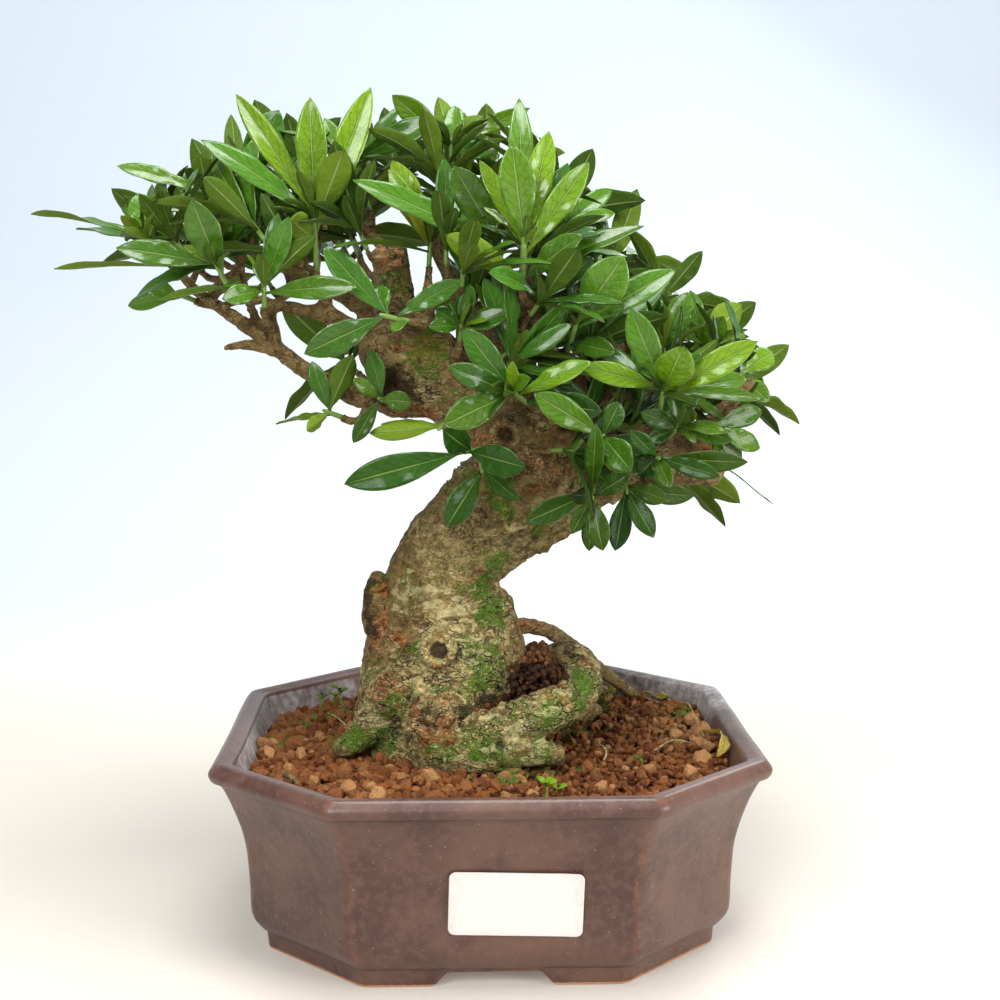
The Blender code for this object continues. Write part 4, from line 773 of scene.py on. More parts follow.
for word, operation in (("add", "ADD"), ("sub", "SUBTRACT"), ("mul", "MULTIPLY"), ("pow", "POWER")):
    setattr(Signal, f"__{word}__", arithmetic(operation, False))
    setattr(Signal, f"__r{word}__", arithmetic(operation, True))


class Finish:
    """A procedural material: its uniform values are set on the shader, the rest is fed to it."""

    def __init__(self, name, **uniform):
        self.material = bpy.data.materials.new(name)
        self.material.use_nodes = True
        self.tree = self.material.node_tree
        self.shader = self.tree.nodes["Principled BSDF"]
        for socket, value in uniform.items():
            self.shader.inputs[socket.replace("_", " ")].default_value = value
        place = {"Vector": self.node("ShaderNodeTexCoord", {}, {}, "Object"), "Scale": 1 / MM}
        self.at = self.node("ShaderNodeVectorMath", {"operation": "SCALE"}, place)

    def feed(self, socket, value):
        """Links a signal to a socket, or sets a plain value on it; a colour may be three numbers."""
        if isinstance(value, Signal):
            self.tree.links.new(value.socket, socket)
        elif isinstance(value, tuple) and len(value) == 3 and socket.type == "RGBA":
            socket.default_value = (*value, 1)
        else:
            socket.default_value = value

    def node(self, kind, settings, inputs, output=0):
        """Adds a node: its settings first, then the values or links of its sockets."""
        node = self.tree.nodes.new(kind)
        for key, value in settings.items():
            setattr(node, key, value)
        for key, value in (inputs.items() if isinstance(inputs, dict) else enumerate(inputs)):
            self.feed(node.inputs[key], value)
        return Signal(self, node.outputs[output])

    def grain(self, scale, detail=2.0, roughness=0.5, distortion=0.0, at=None):
        """Noise with features of about 1 / scale mm."""
        inputs = {"Vector": at or self.at, "Scale": scale, "Detail": detail, "Roughness": roughness,
                  "Distortion": distortion}
        return self.node("ShaderNodeTexNoise", {}, inputs)

    def cells(self, scale, feature="F1", output="Distance", at=None):
        inputs = {"Vector": at or self.at, "Scale": scale}
        return self.node("ShaderNodeTexVoronoi", {"feature": feature}, inputs, output)

    def dots(self, scale, low, high):
        return self.cells(scale).above(low, high)

    def warped(self, scale, reach, at=None):
        """Place, pushed about by up to reach mm."""
        at = at or self.at
        push = self.node("ShaderNodeTexNoise", {}, {"Vector": at, "Scale": scale, "Detail": 3.0}, "Color")
        inputs = {0: push, 1: (reach,) * 3, 2: at}
        return self.node("ShaderNodeVectorMath", {"operation": "MULTIPLY_ADD"}, inputs)

    def stretched(self, x, y, z):
        """Place, scaled along each axis."""
        return self.node("ShaderNodeVectorMath", {"operation": "MULTIPLY"}, {0: self.at, 1: (x, y, z)})

    def blend(self, share, low, high):
        """Colour that goes from low to high as share goes from 0 to 1."""
        return self.node("ShaderNodeMix", {"data_type": "RGBA"}, {0: share, 6: low, 7: high}, 2)

    def coats(self, colour, *coats):
        """A colour with others laid over it: each coat is its share and its colour."""
        for share, over in coats:
            colour = self.blend(share, colour, over)
        return colour

    def painted(self, name):
        """The three channels of a colour that the mesh carries at its points, and its fourth."""
        carried, fourth = (self.node("ShaderNodeAttribute", {"attribute_name": name}, {}, output)
                           for output in ("Color", "Alpha"))
        return [carried.channel(k) for k in range(3)] + [fourth]

    def across_and_along(self):
        """Place on a blade: 0 at the midrib to 1 at the margin, and 0 at the base to 1 at the tip."""
        chart = self.node("ShaderNodeUVMap", {"uv_map": "blade"}, {})
        return abs(chart.channel("X") * 2 - 1), chart.channel("Y")

    def done(self, colour, roughness, relief=None, depth=0.0, coat=None):
        """Feeds the shader; relief is a height in mm, times depth."""
        wanted = {"Base Color": colour, "Roughness": roughness, "Coat Weight": coat}
        if relief is not None:
            bump = {"Strength": 1.0, "Distance": depth * MM, "Height": relief}
            wanted["Normal"] = self.node("ShaderNodeBump", {}, bump, "Normal")
        for socket, value in wanted.items():
            if value is not None:
                self.feed(self.shader.inputs[socket], value)
        return self.material


def leaf_finish():
    """Glossy blade with a pale midrib, faint veins, a thin light margin and a dull, paler underside; its
    greens are painted lighter higher up the crown as painted light.
    """
    leaf = Finish("leaf_blade", Coat_Roughness=0.15, Specular_IOR_Level=0.10)
    youth, chance, under, age = leaf.painted("tone")
    across, along = leaf.across_and_along()
    mottle = leaf.grain(0.30, 3, 0.6)
    fine = leaf.grain(2.2, 2)
    # Height in the crown: it lightens the greens as painted light, and adds gloss
    high = leaf.at.channel("Z").above(120, 215)
    spread = abs((along * 9 - across * 1.9 + mottle * 0.6).fraction() - 0.5) * 2
    inside = across.above(0.97, 0.8) * across.above(0.03, 0.12)
    vein = spread.above(0.86, 1.0) * inside
    midrib = across.above(0.10, 0.03)
    margin = across.above(0.955, 1.0)
    blotch = leaf.grain(0.9, 4, 0.7).above(0.68, 0.76) * across.above(0.1, 0.6)
    # Painted light: both greens are lighter on leaves higher up, for the light on the crown's top and the
    # shade inside it
    deep = leaf.blend(high, (0.002, 0.013, 0.001), (0.010, 0.050, 0.003))
    bright = leaf.blend(high, (0.008, 0.038, 0.002), (0.038, 0.145, 0.006))
    pale = leaf.coats(leaf.blend(youth, (0.040, 0.088, 0.010), (0.20, 0.31, 0.020)),
                      (midrib * 0.7 + vein * 0.2, (0.30, 0.36, 0.13)))
    colour = leaf.coats(
        leaf.blend(chance * 0.75 + mottle * 0.5 - 0.1, deep, bright),
        (youth ** 1.3, (0.150, 0.275, 0.003)),
        (vein * 0.10 + midrib * (0.42 + youth * 0.2), (0.22, 0.33, 0.085)),
        (margin * 0.4, (0.34, 0.42, 0.19)),
        (under, pale),
        (age, (0.50, 0.36, 0.045)),
        (age.above(0.58, 0.95) * 0.85, (0.150, 0.082, 0.020)),
        (blotch * 0.18 + age * blotch * 0.5, (0.17, 0.10, 0.03)))
    relief = 0.20 * fine - vein * 0.45 - midrib * 1.2 + mottle * 2.4 + (1 - spread) * inside * 0.10
    rough = 0.30 + under * 0.27 + fine * 0.12 - youth * 0.03
    gloss = (1 - under) * (mottle * (0.14 + high * 0.66) + high * 0.22 + youth * 0.10)
    return leaf.done(colour, rough, relief * (1 - under * 1.6), 0.45, gloss)


def bark_finish():
    """Grey-tan bark in thin curling flakes, with green algae, rusty patches, pale scars and dark stains;
    painted shade lies in its hollows, its low places and higher up, and painted highlights and shadows lie
    on its folds and flake edges.
    """
    bark = Finish("old_bark", Specular_IOR_Level=0.16)
    moss, rust, pale, soot = bark.painted("growth")
    thin, ridge = bark.painted("build")[:2]
    high = bark.at.channel("Z")
    sleek = high.above(100, 116) * high.above(154, 138)
    broad = bark.grain(0.07, 4, 0.6)
    middle = bark.grain(0.30, 4, 0.62, 0.5)
    small = bark.grain(0.75, 5, 0.68, 1.2)
    fine = bark.grain(2.0, 4, 0.65, 0.6)
    curl = bark.warped(0.22, 7.0, bark.stretched(0.75, 0.75, 1.5))
    fold = bark.grain(0.30, 4, 0.62, 0.8, curl)
    flake_edge = bark.cells(0.30, "DISTANCE_TO_EDGE", at=curl)
    flake_kind = bark.cells(0.30, output="Color", at=curl)
    kind, other = flake_kind.channel(0), flake_kind.channel(1)
    chips = bark.warped(0.5, 2.2)
    chip_edge = bark.cells(0.95, "DISTANCE_TO_EDGE", at=chips)
    chip_kind = bark.cells(0.95, output="Color", at=chips).channel(0)

    def patchy(amount, *shares):
        """A painted amount with its margin broken up by noises, each with its share."""
        for noisy, share in shares:
            amount = amount + (noisy - 0.5) * share
        return amount

    rough = (1 - sleek * 0.75) * (1 - thin * 0.5)
    open_here = bark.grain(0.16, 3, 0.6).above(0.42, 0.60)
    crack = flake_edge.above(0.080, 0.012) * rough * (0.15 + open_here * 0.9)
    # Raised edges of the flakes, which the colour paints as a pale highlight
    rim = flake_edge.above(0.05, 0.12) * flake_edge.above(0.25, 0.12) * rough * open_here
    nick = chip_edge.above(0.10, 0.02) * small.above(0.44, 0.56)
    speck = bark.dots(1.3, 0.30, 0.16) * small.above(0.48, 0.58)
    algae = (patchy(moss * 0.5, (broad, 1.2), (small, 1.1)) + 0.03).above(0.28, 0.56)
    veil = patchy(moss * 0.85, (small, 1.9), (fine, 0.6), (kind, 0.35)).above(0.46, 0.62)
    flaky = patchy(rust * 0.75, (small, 1.4), (other, 0.5)).above(0.40, 0.52)
    lichen = patchy(pale * 0.8, (small, 1.7), (kind, 0.5), (middle, 0.9)).above(0.46, 0.62)
    # Dark patches: partly dark stain, partly painted shade in the hollows of the wood
    dark = patchy(soot * 0.9, (small, 1.1), (fine, 0.5)).above(0.34, 0.56)
    shaded = bark.blend(middle, (0.060, 0.034, 0.012), (0.230, 0.145, 0.05))
    slim = bark.blend(middle.above(0.35, 0.65), (0.085, 0.044, 0.013), (0.33, 0.215, 0.074))
    green = bark.blend(fine.above(0.38, 0.66), (0.018, 0.090, 0.003), (0.180, 0.350, 0.024))
    # In the rusty patches too, the folds are painted lighter on their crests and the flake edges get a
    # painted highlight
    tint = bark.coats(bark.blend(fold.above(0.40, 0.58), (0.120, 0.034, 0.01), (0.500, 0.200, 0.058)),
                      (rim * 0.7 + chip_kind.above(0.7, 0.9) * 0.4, (0.72, 0.47, 0.2)))
    colour = bark.coats(
        bark.blend(broad.above(0.38, 0.60), (0.235, 0.180, 0.037), (0.460, 0.345, 0.111)),
        (middle.above(0.42, 0.60) * 0.6, (0.600, 0.455, 0.167)),
        (kind.above(0.55, 0.95) * (0.3 + rough * 0.5), (0.880, 0.740, 0.348)),
        (kind.above(0.40, 0.05) * (0.2 + rough * 0.45), (0.150, 0.090, 0.028)),
        (other.above(0.72, 0.92) * rough * 0.55, (0.430, 0.190, 0.056)),
        # Painted highlight on the crests of the folds and painted shadow in their troughs, laid on the fold
        # relief
        (fold.above(0.54, 0.62) * 0.55, (0.920, 0.780, 0.37)),
        (fold.above(0.46, 0.38) * 0.6, (0.100, 0.064, 0.021)),
        (chip_kind.above(0.6, 0.95) * 0.45, (0.950, 0.820, 0.414)),
        (chip_kind.above(0.35, 0.05) * 0.4, (0.110, 0.075, 0.026)),
        # Painted shade on the wood higher up, under the crown
        (high.above(88, 122) * 0.50, shaded),
        (thin * 0.8, slim),
        (speck * 0.5, (0.72, 0.62, 0.333)),
        (algae * 0.55, (0.215, 0.235, 0.022)),
        (veil * (0.9 - rim * 0.4), green),
        (flaky * 0.92, tint),
        (lichen * 0.7, bark.blend(fine, (0.58, 0.50, 0.215), (0.95, 0.84, 0.444))),
        # Painted highlight on the raised flake edges
        (rim * 0.35, (0.95, 0.82, 0.414)),
        # Painted shade in the low places of the skin's relief
        (ridge.above(0.36, 0.05) * 0.6, (0.045, 0.034, 0.016)),
        (((crack * 0.85 + nick * 0.3) * (1 - flaky * 0.5)).upto(0.85), (0.040, 0.025, 0.011)),
        # Dark stain, and painted shade in hollows
        (dark * 0.82, bark.blend(kind, (0.014, 0.009, 0.006), (0.062, 0.030, 0.020))))
    relief = (fold * 2.2 + small * 1.6 + fine * 0.5 + middle * 1.2 + speck * 0.3 - crack * 1.1 + rim * 0.45
              - nick * 0.4 + kind * rough * 0.5 + flaky * 0.4 + veil * 0.25)
    return bark.done(colour, 0.48 + fine * 0.4, relief, 1.2)


def glaze_finish():
    """Brown-purple glaze with pale specks: rusty on worn edges, a pale film inside that is partly lime and
    partly painted sheen, bare clay below.
    """
    glaze = Finish("speckled_glaze", Coat_Roughness=0.18, Specular_IOR_Level=0.42)
    edge, bare, lime, scratch = glaze.painted("wear")
    cloud = glaze.grain(0.040, 4, 0.6)
    middle = glaze.grain(0.35, 4, 0.6)
    fine = glaze.grain(2.6, 3, 0.6)
    speck = glaze.dots(0.62, 0.125, 0.07) * glaze.grain(0.5, 2).above(0.50, 0.56)
    dust = glaze.dots(1.7, 0.13, 0.06) * middle.above(0.50, 0.62)
    pit = glaze.dots(1.2, 0.09, 0.04) * middle.above(0.54, 0.46)
    worn = (edge + (middle - 0.5) * 0.8 + (fine - 0.5) * 0.3).above(0.36, 0.9)
    lime_and_sheen = (lime + (cloud - 0.5) * 0.7 + (middle - 0.5) * 0.5).above(0.35, 0.95)
    streak = glaze.grain(0.30, 3, 0.6, 0.4, glaze.stretched(1.6, 1.6, 0.35)).above(0.36, 0.56)
    scrape = glaze.grain(0.45, 4, 0.7, 0.6, glaze.stretched(0.5, 0.5, 2.4)).above(0.66, 0.72) * scratch
    clay = (bare + (middle - 0.5) * 0.5).above(0.42, 0.6)
    colour = glaze.coats(
        glaze.blend(cloud.above(0.34, 0.64), (0.052, 0.020, 0.014), (0.100, 0.046, 0.030)),
        (middle.above(0.42, 0.66) * 0.4, (0.118, 0.062, 0.044)),
        (worn * 0.6, (0.185, 0.060, 0.026)),
        (speck * 0.5 + dust * 0.3, (0.46, 0.40, 0.34)),
        (pit * 0.7, (0.024, 0.013, 0.011)),
        # Pale grey film: dried lime, and a painted sheen on the inner left wall most of all
        (lime_and_sheen * (0.50 + streak * 0.38), (0.50, 0.50, 0.50)),
        (scrape * 0.55, (0.36, 0.32, 0.30)),
        (clay, glaze.blend(fine, (0.24, 0.095, 0.045), (0.46, 0.235, 0.12))))
    rough = 0.34 + fine * 0.14 + clay * 0.4 + lime_and_sheen * 0.2 + cloud * 0.12
    relief = middle * 0.9 + fine * 0.18 + speck * 0.25 - pit * 0.8 + cloud * 2.0
    return glaze.done(colour, rough, relief, 0.22, (1 - clay) * (0.12 + cloud * 0.24))


def granule_finish():
    """Baked clay: rust brown to tan, porous and dull, green where moss has taken, darker where damp, and
    painted darker as shade in the hollow by the roots and on the bed under the granules.
    """
    clay = Finish("clay_granules", Specular_IOR_Level=0.15)
    tan, chance, moss, soot = clay.painted("clay")
    fine = clay.grain(2.2, 4, 0.7)
    rough = clay.grain(0.9, 4, 0.7, 0.4)
    pore = clay.dots(1.6, 0.24, 0.08)
    veil = (moss + (fine - 0.5) * 0.8).above(0.4, 0.8)
    colour = clay.coats(
        clay.blend(chance, (0.090, 0.022, 0.006), (0.260, 0.086, 0.021)),
        (tan, (0.44, 0.225, 0.085)),
        (fine.above(0.4, 0.75) * 0.5, clay.blend(tan, (0.30, 0.12, 0.045), (0.66, 0.42, 0.20))),
        (rough.above(0.48, 0.36) * 0.5, clay.blend(tan, (0.045, 0.014, 0.006), (0.30, 0.12, 0.04))),
        (pore * 0.6, (0.040, 0.014, 0.007)),
        (veil * 0.8, clay.blend(fine, (0.030, 0.062, 0.008), (0.21, 0.22, 0.04))),
        # Darker where damp, and painted shade on the crumbs in the hollow and on the bed under the granules
        (soot, (0.018, 0.010, 0.007)))
    return clay.done(colour, 0.72 + fine * 0.25, fine * 0.9 + rough * 1.6 - pore * 1.1, 0.6)


def moss_finish():
    moss = Finish("moss")
    youth, chance, _, age = moss.painted("tone")
    colour = moss.coats(moss.blend(chance, (0.018, 0.055, 0.010), (0.085, 0.190, 0.028)),
                        (youth, (0.24, 0.46, 0.05)), (age, (0.30, 0.24, 0.08)))
    return moss.done(colour, 0.6 + chance * 0.3)


def paper_finish():
    """White paper, a little dusty at its margin and finely wrinkled."""
    paper = Finish("sticker_paper", Specular_IOR_Level=0.4)
    margin = paper.painted("tone")[0]
    fibre = paper.grain(4.0, 4, 0.7)
    crease = paper.grain(0.16, 4, 0.6, 1.2)
    colour = paper.coats(paper.blend(fibre * 0.5 + crease * 0.5, (0.57, 0.56, 0.545), (0.65, 0.635, 0.615)),
                         (margin * crease.above(0.35, 0.65) * 0.5, (0.52, 0.47, 0.43)))
    return paper.done(colour, 0.38 + fibre * 0.2, fibre * 0.12 + crease * 1.5, 0.25)


def plastic_finish():
    plastic = Finish("screen_plastic")
    fine = plastic.grain(3.0, 3)
    colour = plastic.blend(fine, (0.012, 0.012, 0.012), (0.045, 0.042, 0.038))
    return plastic.done(colour, 0.45 + fine * 0.2, fine, 0.1)


def floor_finish():
    """Cream floor that turns into a pale blue-white backdrop which glows a little."""
    floor = Finish("pale_floor", Specular_IOR_Level=0.2, Emission_Strength=1.0)
    shade = floor.grain(0.004, 2)
    rise = floor.at.channel("Z").above(-10, 300)
    away = floor.at.channel("Y").above(120, 560)
    glow = floor.coats(floor.blend(away, (0.155, 0.145, 0.128), (0.120, 0.130, 0.132)),
                       (rise, (0.12, 0.14, 0.16)))
    floor.feed(floor.shader.inputs["Emission Color"], glow)
    colour = floor.coats(floor.blend(shade, (0.490, 0.455, 0.400), (0.525, 0.485, 0.430)),
                         (away, (0.600, 0.645, 0.655)), (rise, (0.535, 0.595, 0.645)))
    return floor.done(colour, 0.6 + shade * 0.1)


def put(name, data):
    """A new object in the scene."""
    made = bpy.data.objects.new(name, data)
    bpy.context.scene.collection.objects.link(made)
    return made


def reshape(thing, *changes):
    """Gives a thing the mesh that modifiers make of it; each change is a modifier's kind and settings."""
    for kind, settings in changes:
        modifier = thing.modifiers.new(kind, kind)
        for key, value in settings.items():
            setattr(modifier, key, value)
    bpy.context.view_layer.update()
    depsgraph = bpy.context.evaluated_depsgraph_get()
    mesh = bpy.data.meshes.new_from_object(thing.evaluated_get(depsgraph), depsgraph=depsgraph)
    thing.modifiers.clear()
    thing.data = mesh


def dress(made, finish, tones, charts=None, nodes=(), flat=False):
    """Puts a piece on the body, with its finish, point colours and blade chart."""
    made.location = POT_PLACE
    mesh = made.data
    if not flat:
        mesh.shade_smooth()
    for name, values in tones.items():
        layer = mesh.attributes.new(name, "FLOAT_COLOR", "POINT")
        layer.data.foreach_set("color", np.asarray(values, np.float32).ravel())
    if charts:
        corners = np.zeros(len(mesh.loops), np.int32)
        mesh.loops.foreach_get("vertex_index", corners)
        chart = mesh.uv_layers.new(name="blade")
        chart.data.foreach_set("uv", np.asarray(charts, np.float32)[corners].ravel())
    mesh.materials.clear()
    mesh.materials.append(finish)
    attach(made, "root")
    if nodes:
        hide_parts(*nodes)
    return made


class Batch:
    """Points, faces, colours and chart places of many small forms that make one piece."""

    def __init__(self):
        self.points, self.faces, self.charts, self.tones = [], [], [], {}

    def add(self, points, faces, charts=None, **tones):
        """Adds a form; each layer's tone is one colour for the whole form, or one for each point."""
        start = len(self.points)
        self.points += [tuple(p) for p in points]
        self.faces += [tuple(start + k for k in face) for face in faces]
        self.charts += charts or [(0.5, 0.5)] * len(points)
        for layer, tone in tones.items():
            tone = [tone] * len(points) if isinstance(tone, tuple) else tone
            self.tones.setdefault(layer, []).extend(tone)

    def tube(self, route, radii, sides, roughness=0.0, seed=0.0, **tones):
        self.add(*round_tube(route, radii, sides, roughness, seed), **tones)

    def mesh(self, name):
        made = bpy.data.meshes.new(name)
        made.from_pydata(self.points, [], self.faces)
        return made

    def make(self, name, finish, slot, nodes=(), flat=False):
        charts = self.charts if slot == "leaf" else None
        return dress(put(name, self.mesh(name)), finish, self.tones, charts, nodes, flat)


def round_tube(route, radii, sides, roughness=0.0, seed=0.0):
    """Closed tube in metres with domed ends; radii in mm, roughness in mm."""
    points = []
    normal = None
    for i, point in enumerate(route):
        ahead = ahead_at(route, i).normalized()
        if normal is None:
            normal = ahead.orthogonal().normalized()
        normal = (normal - ahead * normal.dot(ahead)).normalized()
        side = ahead.cross(normal)
        for angle in turns(sides):
            arm = normal * math.cos(angle) + side * math.sin(angle)
            spot = (point + arm * radii[i] * MM) / (2.2 * MM) + Vector((seed, 0, 0))
            swell = roughness * noise.noise(spot)
            points.append(point + arm * (radii[i] + swell) * MM)
    faces = ring_faces(len(route), sides)
    for start, end, before, step in ((0, 0, 1, -1), (len(points) - sides, -1, -2, 1)):
        out = (route[end] - route[before]).normalized()
        points.append(route[end] + out * radii[end] * 0.4 * MM)
        faces += [(*(start + k, start + (k + 1) % sides)[::step], len(points) - 1) for k in range(sides)]
    return points, faces


class Blade:
    """The fine form of a leaf: its midrib and outline, with waves, a rounded crease and a thin margin."""

    def __init__(self, leaf, rng, youth, age=0.0, waves=0.05, grid=LARGE_GRID):
        self.leaf = leaf
        self.rows, self.columns = grid
        self.youth = youth
        self.age = age
        self.chance = rng.random()
        self.ripple = [(rng.uniform(2.2, 4.2), rng.uniform(0, 2 * math.pi)) for _ in range(2)]
        self.waves = waves

    def half_width(self, t):
        shape = t ** 1.5 * max(1 - t, 0) ** 0.9 / 0.2044
        stalk = 0.5 * MM * (1 - t)
        return max(self.leaf.width / 2 * shape, stalk)

    def surface(self, t, u):
        """Middle of the blade's thickness at t along it and u across it, and where its face looks."""
        point, side, face = self.leaf.frame(t)
        half = self.half_width(t)
        fold = LEAF_FOLD * half * min(t * 4, 1) * (math.sqrt(u * u + CREASE * CREASE) - CREASE)
        beat, phase = self.ripple[0 if u < 0 else 1]
        wave = self.waves * self.leaf.width * math.sin(2 * math.pi * beat * t + phase) * abs(u) ** 1.6
        wave *= math.sin(math.pi * min(t * 1.15, 1))
        return point + side * (half * u) + face * (fold + wave), face

    def add_to(self, batch):
        points, faces, tones, charts = [], [], [], []
        width = self.columns + 1
        for under in (0, 1):
            for i in range(self.rows + 1):
                t = (i / self.rows) ** 0.9
                for k in range(width):
                    u = 2 * k / self.columns - 1
                    centre, face = self.surface(t, u)
                    thick = (BLADE_MIDDLE + (BLADE_MARGIN - BLADE_MIDDLE) * abs(u)) / 2
                    thick += 0.35 * MM * max(1 - abs(u) * 4, 0) * (1 - t) * (1 if under else 0.2)
                    points.append(centre + face * (-thick if under else thick))
                    tones.append((self.youth, self.chance, float(under), self.age))
                    charts.append(((u + 1) / 2, t))
        size = (self.rows + 1) * width
        for i in range(self.rows):
            for k in range(self.columns):
                a = i * width + k
                faces.append((a, a + 1, a + width + 1, a + width))
                faces.append((size + a + 1, size + a, size + a + width, size + a + width + 1))
            a, b = i * width, i * width + self.columns
            faces.append((a, a + width, size + a + width, size + a))
            faces.append((b + width, b, size + b, size + b + width))
        top = self.rows * width
        faces.append((*reversed(range(width)), *range(size, size + width)))
        faces.append((*range(top, top + width), *reversed(range(size + top, size + top + width))))
        batch.add(points, faces, charts, tone=tones)


# Marks on the wood, as read from the viewpoint: (across, down, radius mm, strength)
STUBS = [(439, 650, 5.0, 1.0), (505, 434, 4.2, 0.7), (566, 426, 3.8, 0.6), (500, 745, 2.6, 0.6)]
WOUNDS = [(430, 720, 6.6, 1.0), (389, 252, 5.0, 0.8), (382, 688, 4.6, 0.6)]
PATCHES = {
    "moss": [(503, 478, 7, 0.9), (498, 500, 7, 0.8), (592, 478, 6, 0.8), (498, 560, 6, 0.9),
             (482, 585, 7, 1.0), (460, 590, 4, 0.7), (520, 620, 7, 0.5), (492, 612, 8, 0.9),
             (478, 655, 8, 1.0), (486, 676, 8, 0.9), (417, 650, 4.5, 1.0), (372, 668, 7, 0.6),
             (378, 590, 8, 0.6), (388, 560, 10, 0.55), (562, 710, 10, 1.0), (574, 696, 8, 1.0),
             (540, 722, 6, 0.8), (486, 752, 6, 0.9), (448, 752, 5, 0.9), (582, 678, 8, 0.85),
             (575, 665, 6, 0.5), (522, 718, 8, 0.7), (470, 735, 8, 0.7), (492, 742, 8, 0.8),
             (382, 705, 9, 0.8), (360, 742, 7, 1.0), (388, 738, 7, 1.0), (430, 745, 5, 0.9),
             (405, 700, 7, 0.7), (468, 560, 6, 0.5), (430, 500, 8, 0.4), (545, 750, 6, 0.7),
             (505, 760, 7, 0.7), (412, 595, 7, 0.6), (430, 355, 9, 0.65), (415, 365, 8, 0.6),
             (394, 285, 7, 0.7), (470, 470, 7, 0.6), (540, 530, 6, 0.8), (440, 690, 7, 0.7),
             (470, 690, 7, 0.6), (400, 660, 5, 0.6), (455, 395, 8, 0.5)],
    "rust": [(374, 640, 7, 0.9), (392, 642, 5, 0.8), (405, 641, 4, 0.6), (382, 684, 6, 0.9),
             (370, 612, 4, 0.7), (448, 722, 6, 0.7), (425, 735, 5, 0.7), (556, 690, 6, 0.6),
             (520, 662, 6, 0.6), (360, 660, 4, 0.6), (515, 674, 4, 0.9), (408, 688, 4, 0.7),
             (486, 446, 8, 0.8), (505, 462, 7, 0.8), (532, 462, 7, 0.7), (545, 478, 6, 0.6),
             (438, 510, 5, 0.45), (418, 535, 5, 0.4), (478, 572, 3, 0.6), (454, 592, 3, 0.5),
             (478, 712, 4, 0.3), (440, 690, 4, 0.5), (390, 258, 5, 0.6), (410, 405, 7, 0.9),
             (425, 412, 7, 0.8), (400, 345, 6, 0.5), (700, 470, 8, 0.6), (715, 445, 8, 0.6),
             (360, 700, 5, 0.5), (384, 590, 3, 1.0), (382, 612, 3, 1.0), (380, 630, 3, 1.0),
             (372, 590, 5, 0.8), (372, 608, 5, 0.8), (372, 626, 5, 0.8), (528, 626, 4, 0.9),
             (542, 631, 4, 0.9), (556, 638, 4, 0.9), (570, 648, 4, 0.8), (584, 658, 3, 0.8),
             (452, 660, 2.2, 0.7), (412, 712, 4, 0.9), (452, 712, 3.5, 0.9), (447, 735, 3.5, 0.9)],
    "pale": [(395, 592, 2.2, 0.9), (404, 600, 2.2, 0.9), (394, 612, 2.0, 0.8), (390, 627, 2.0, 0.8),
             (409, 590, 2, 0.7), (432, 596, 8, 0.6), (455, 600, 7, 0.6), (430, 628, 7, 0.7),
             (450, 640, 6, 0.6), (470, 650, 6, 0.6), (420, 668, 9, 0.7), (450, 672, 9, 0.6),
             (480, 640, 7, 0.5), (400, 600, 8, 0.4), (455, 575, 8, 0.4), (545, 715, 8, 0.6),
             (520, 735, 8, 0.6), (565, 690, 5, 0.5), (470, 725, 7, 0.4), (376, 720, 6, 0.6),
             (420, 530, 8, 0.45), (432, 560, 7, 0.45), (540, 415, 6, 0.7), (500, 480, 4, 0.4),
             (470, 545, 5, 0.3), (552, 405, 5, 0.7), (549, 352, 4, 0.9), (668, 412, 4, 0.9),
             (600, 440, 6, 0.5), (500, 545, 8, 0.4), (520, 540, 7, 0.4), (500, 745, 6, 0.5),
             (430, 705, 6, 0.5), (540, 745, 6, 0.5)],
    # Dark marks: partly dark stain on the bark plate and the roots, partly painted shade in the hollows of
    # the wood
    "soot": [(528, 626, 4, 0.6), (542, 631, 4, 0.65), (556, 638, 4, 0.65), (570, 648, 4, 0.6),
             (584, 658, 3, 0.5), (370, 582, 3.4, 0.75), (368, 598, 3.4, 0.75), (370, 614, 3.2, 0.7),
             (369, 630, 3.2, 0.7), (484, 704, 6, 0.7), (470, 710, 5, 0.6), (505, 702, 5, 0.5),
             (396, 722, 4, 0.6), (465, 525, 7, 0.5), (478, 515, 8, 0.5), (520, 470, 6, 0.5),
             (505, 433, 2.4, 0.5), (566, 425, 2.2, 0.5), (392, 296, 9, 0.45), (500, 775, 7, 0.5),
             (545, 735, 4, 0.4), (455, 545, 8, 0.25), (392, 388, 7, 0.8), (402, 378, 6, 0.6)],
}
# Pitch and height in mm of the wrinkles round the roots, the bark plate and the other wood
ROOT_FOLD = (3.6, 1.0)
PLATE_FOLD = (2.4, 1.2)
WOOD_FOLD = (3.0, 0.5)
# Kinds of mark that a rule scatters low and high on the wood, and how often it tries
LOW_MARKS = ("moss", "moss", "pale", "rust", "soot")
HIGH_MARKS = ("rust", "pale", "moss", "rust")
BACK_MARKS = 150


def skin_of(mesh):
    faces = [tuple(face.vertices) for face in mesh.polygons]
    return BVHTree.FromPolygons([v.co.copy() for v in mesh.vertices], faces)


def lookup(places):
    """A tree that finds the nearest of some places."""
    tree = KDTree(len(places))
    for k, place in enumerate(places):
        tree.insert(place, k)
    tree.balance()
    return tree


def grown_wood(branches):
    """Trunk, roots, limbs and branches blended into one fine skin."""
    routes = [smooth_route(rows, 8) for rows in THICK_WOOD.values()] + list(branches.values())
    tubes = Batch()
    for route, radii in routes:
        tubes.tube(route, radii, 16)
    mesh = tubes.mesh("tree")
    whole = bmesh.new()
    whole.from_mesh(mesh)
    for *spot, radius in KNOTS:
        middle = Matrix.Translation(seen(*spot))
        bmesh.ops.create_icosphere(whole, subdivisions=3, radius=radius * MM, matrix=middle)
    whole.to_mesh(mesh)
    whole.free()
    tree = put("tree", mesh)
    reshape(tree, ("REMESH", {"mode": "VOXEL", "voxel_size": TREE_VOXEL}),
            ("SMOOTH", {"factor": 0.5, "iterations": 3}))
    return tree, routes


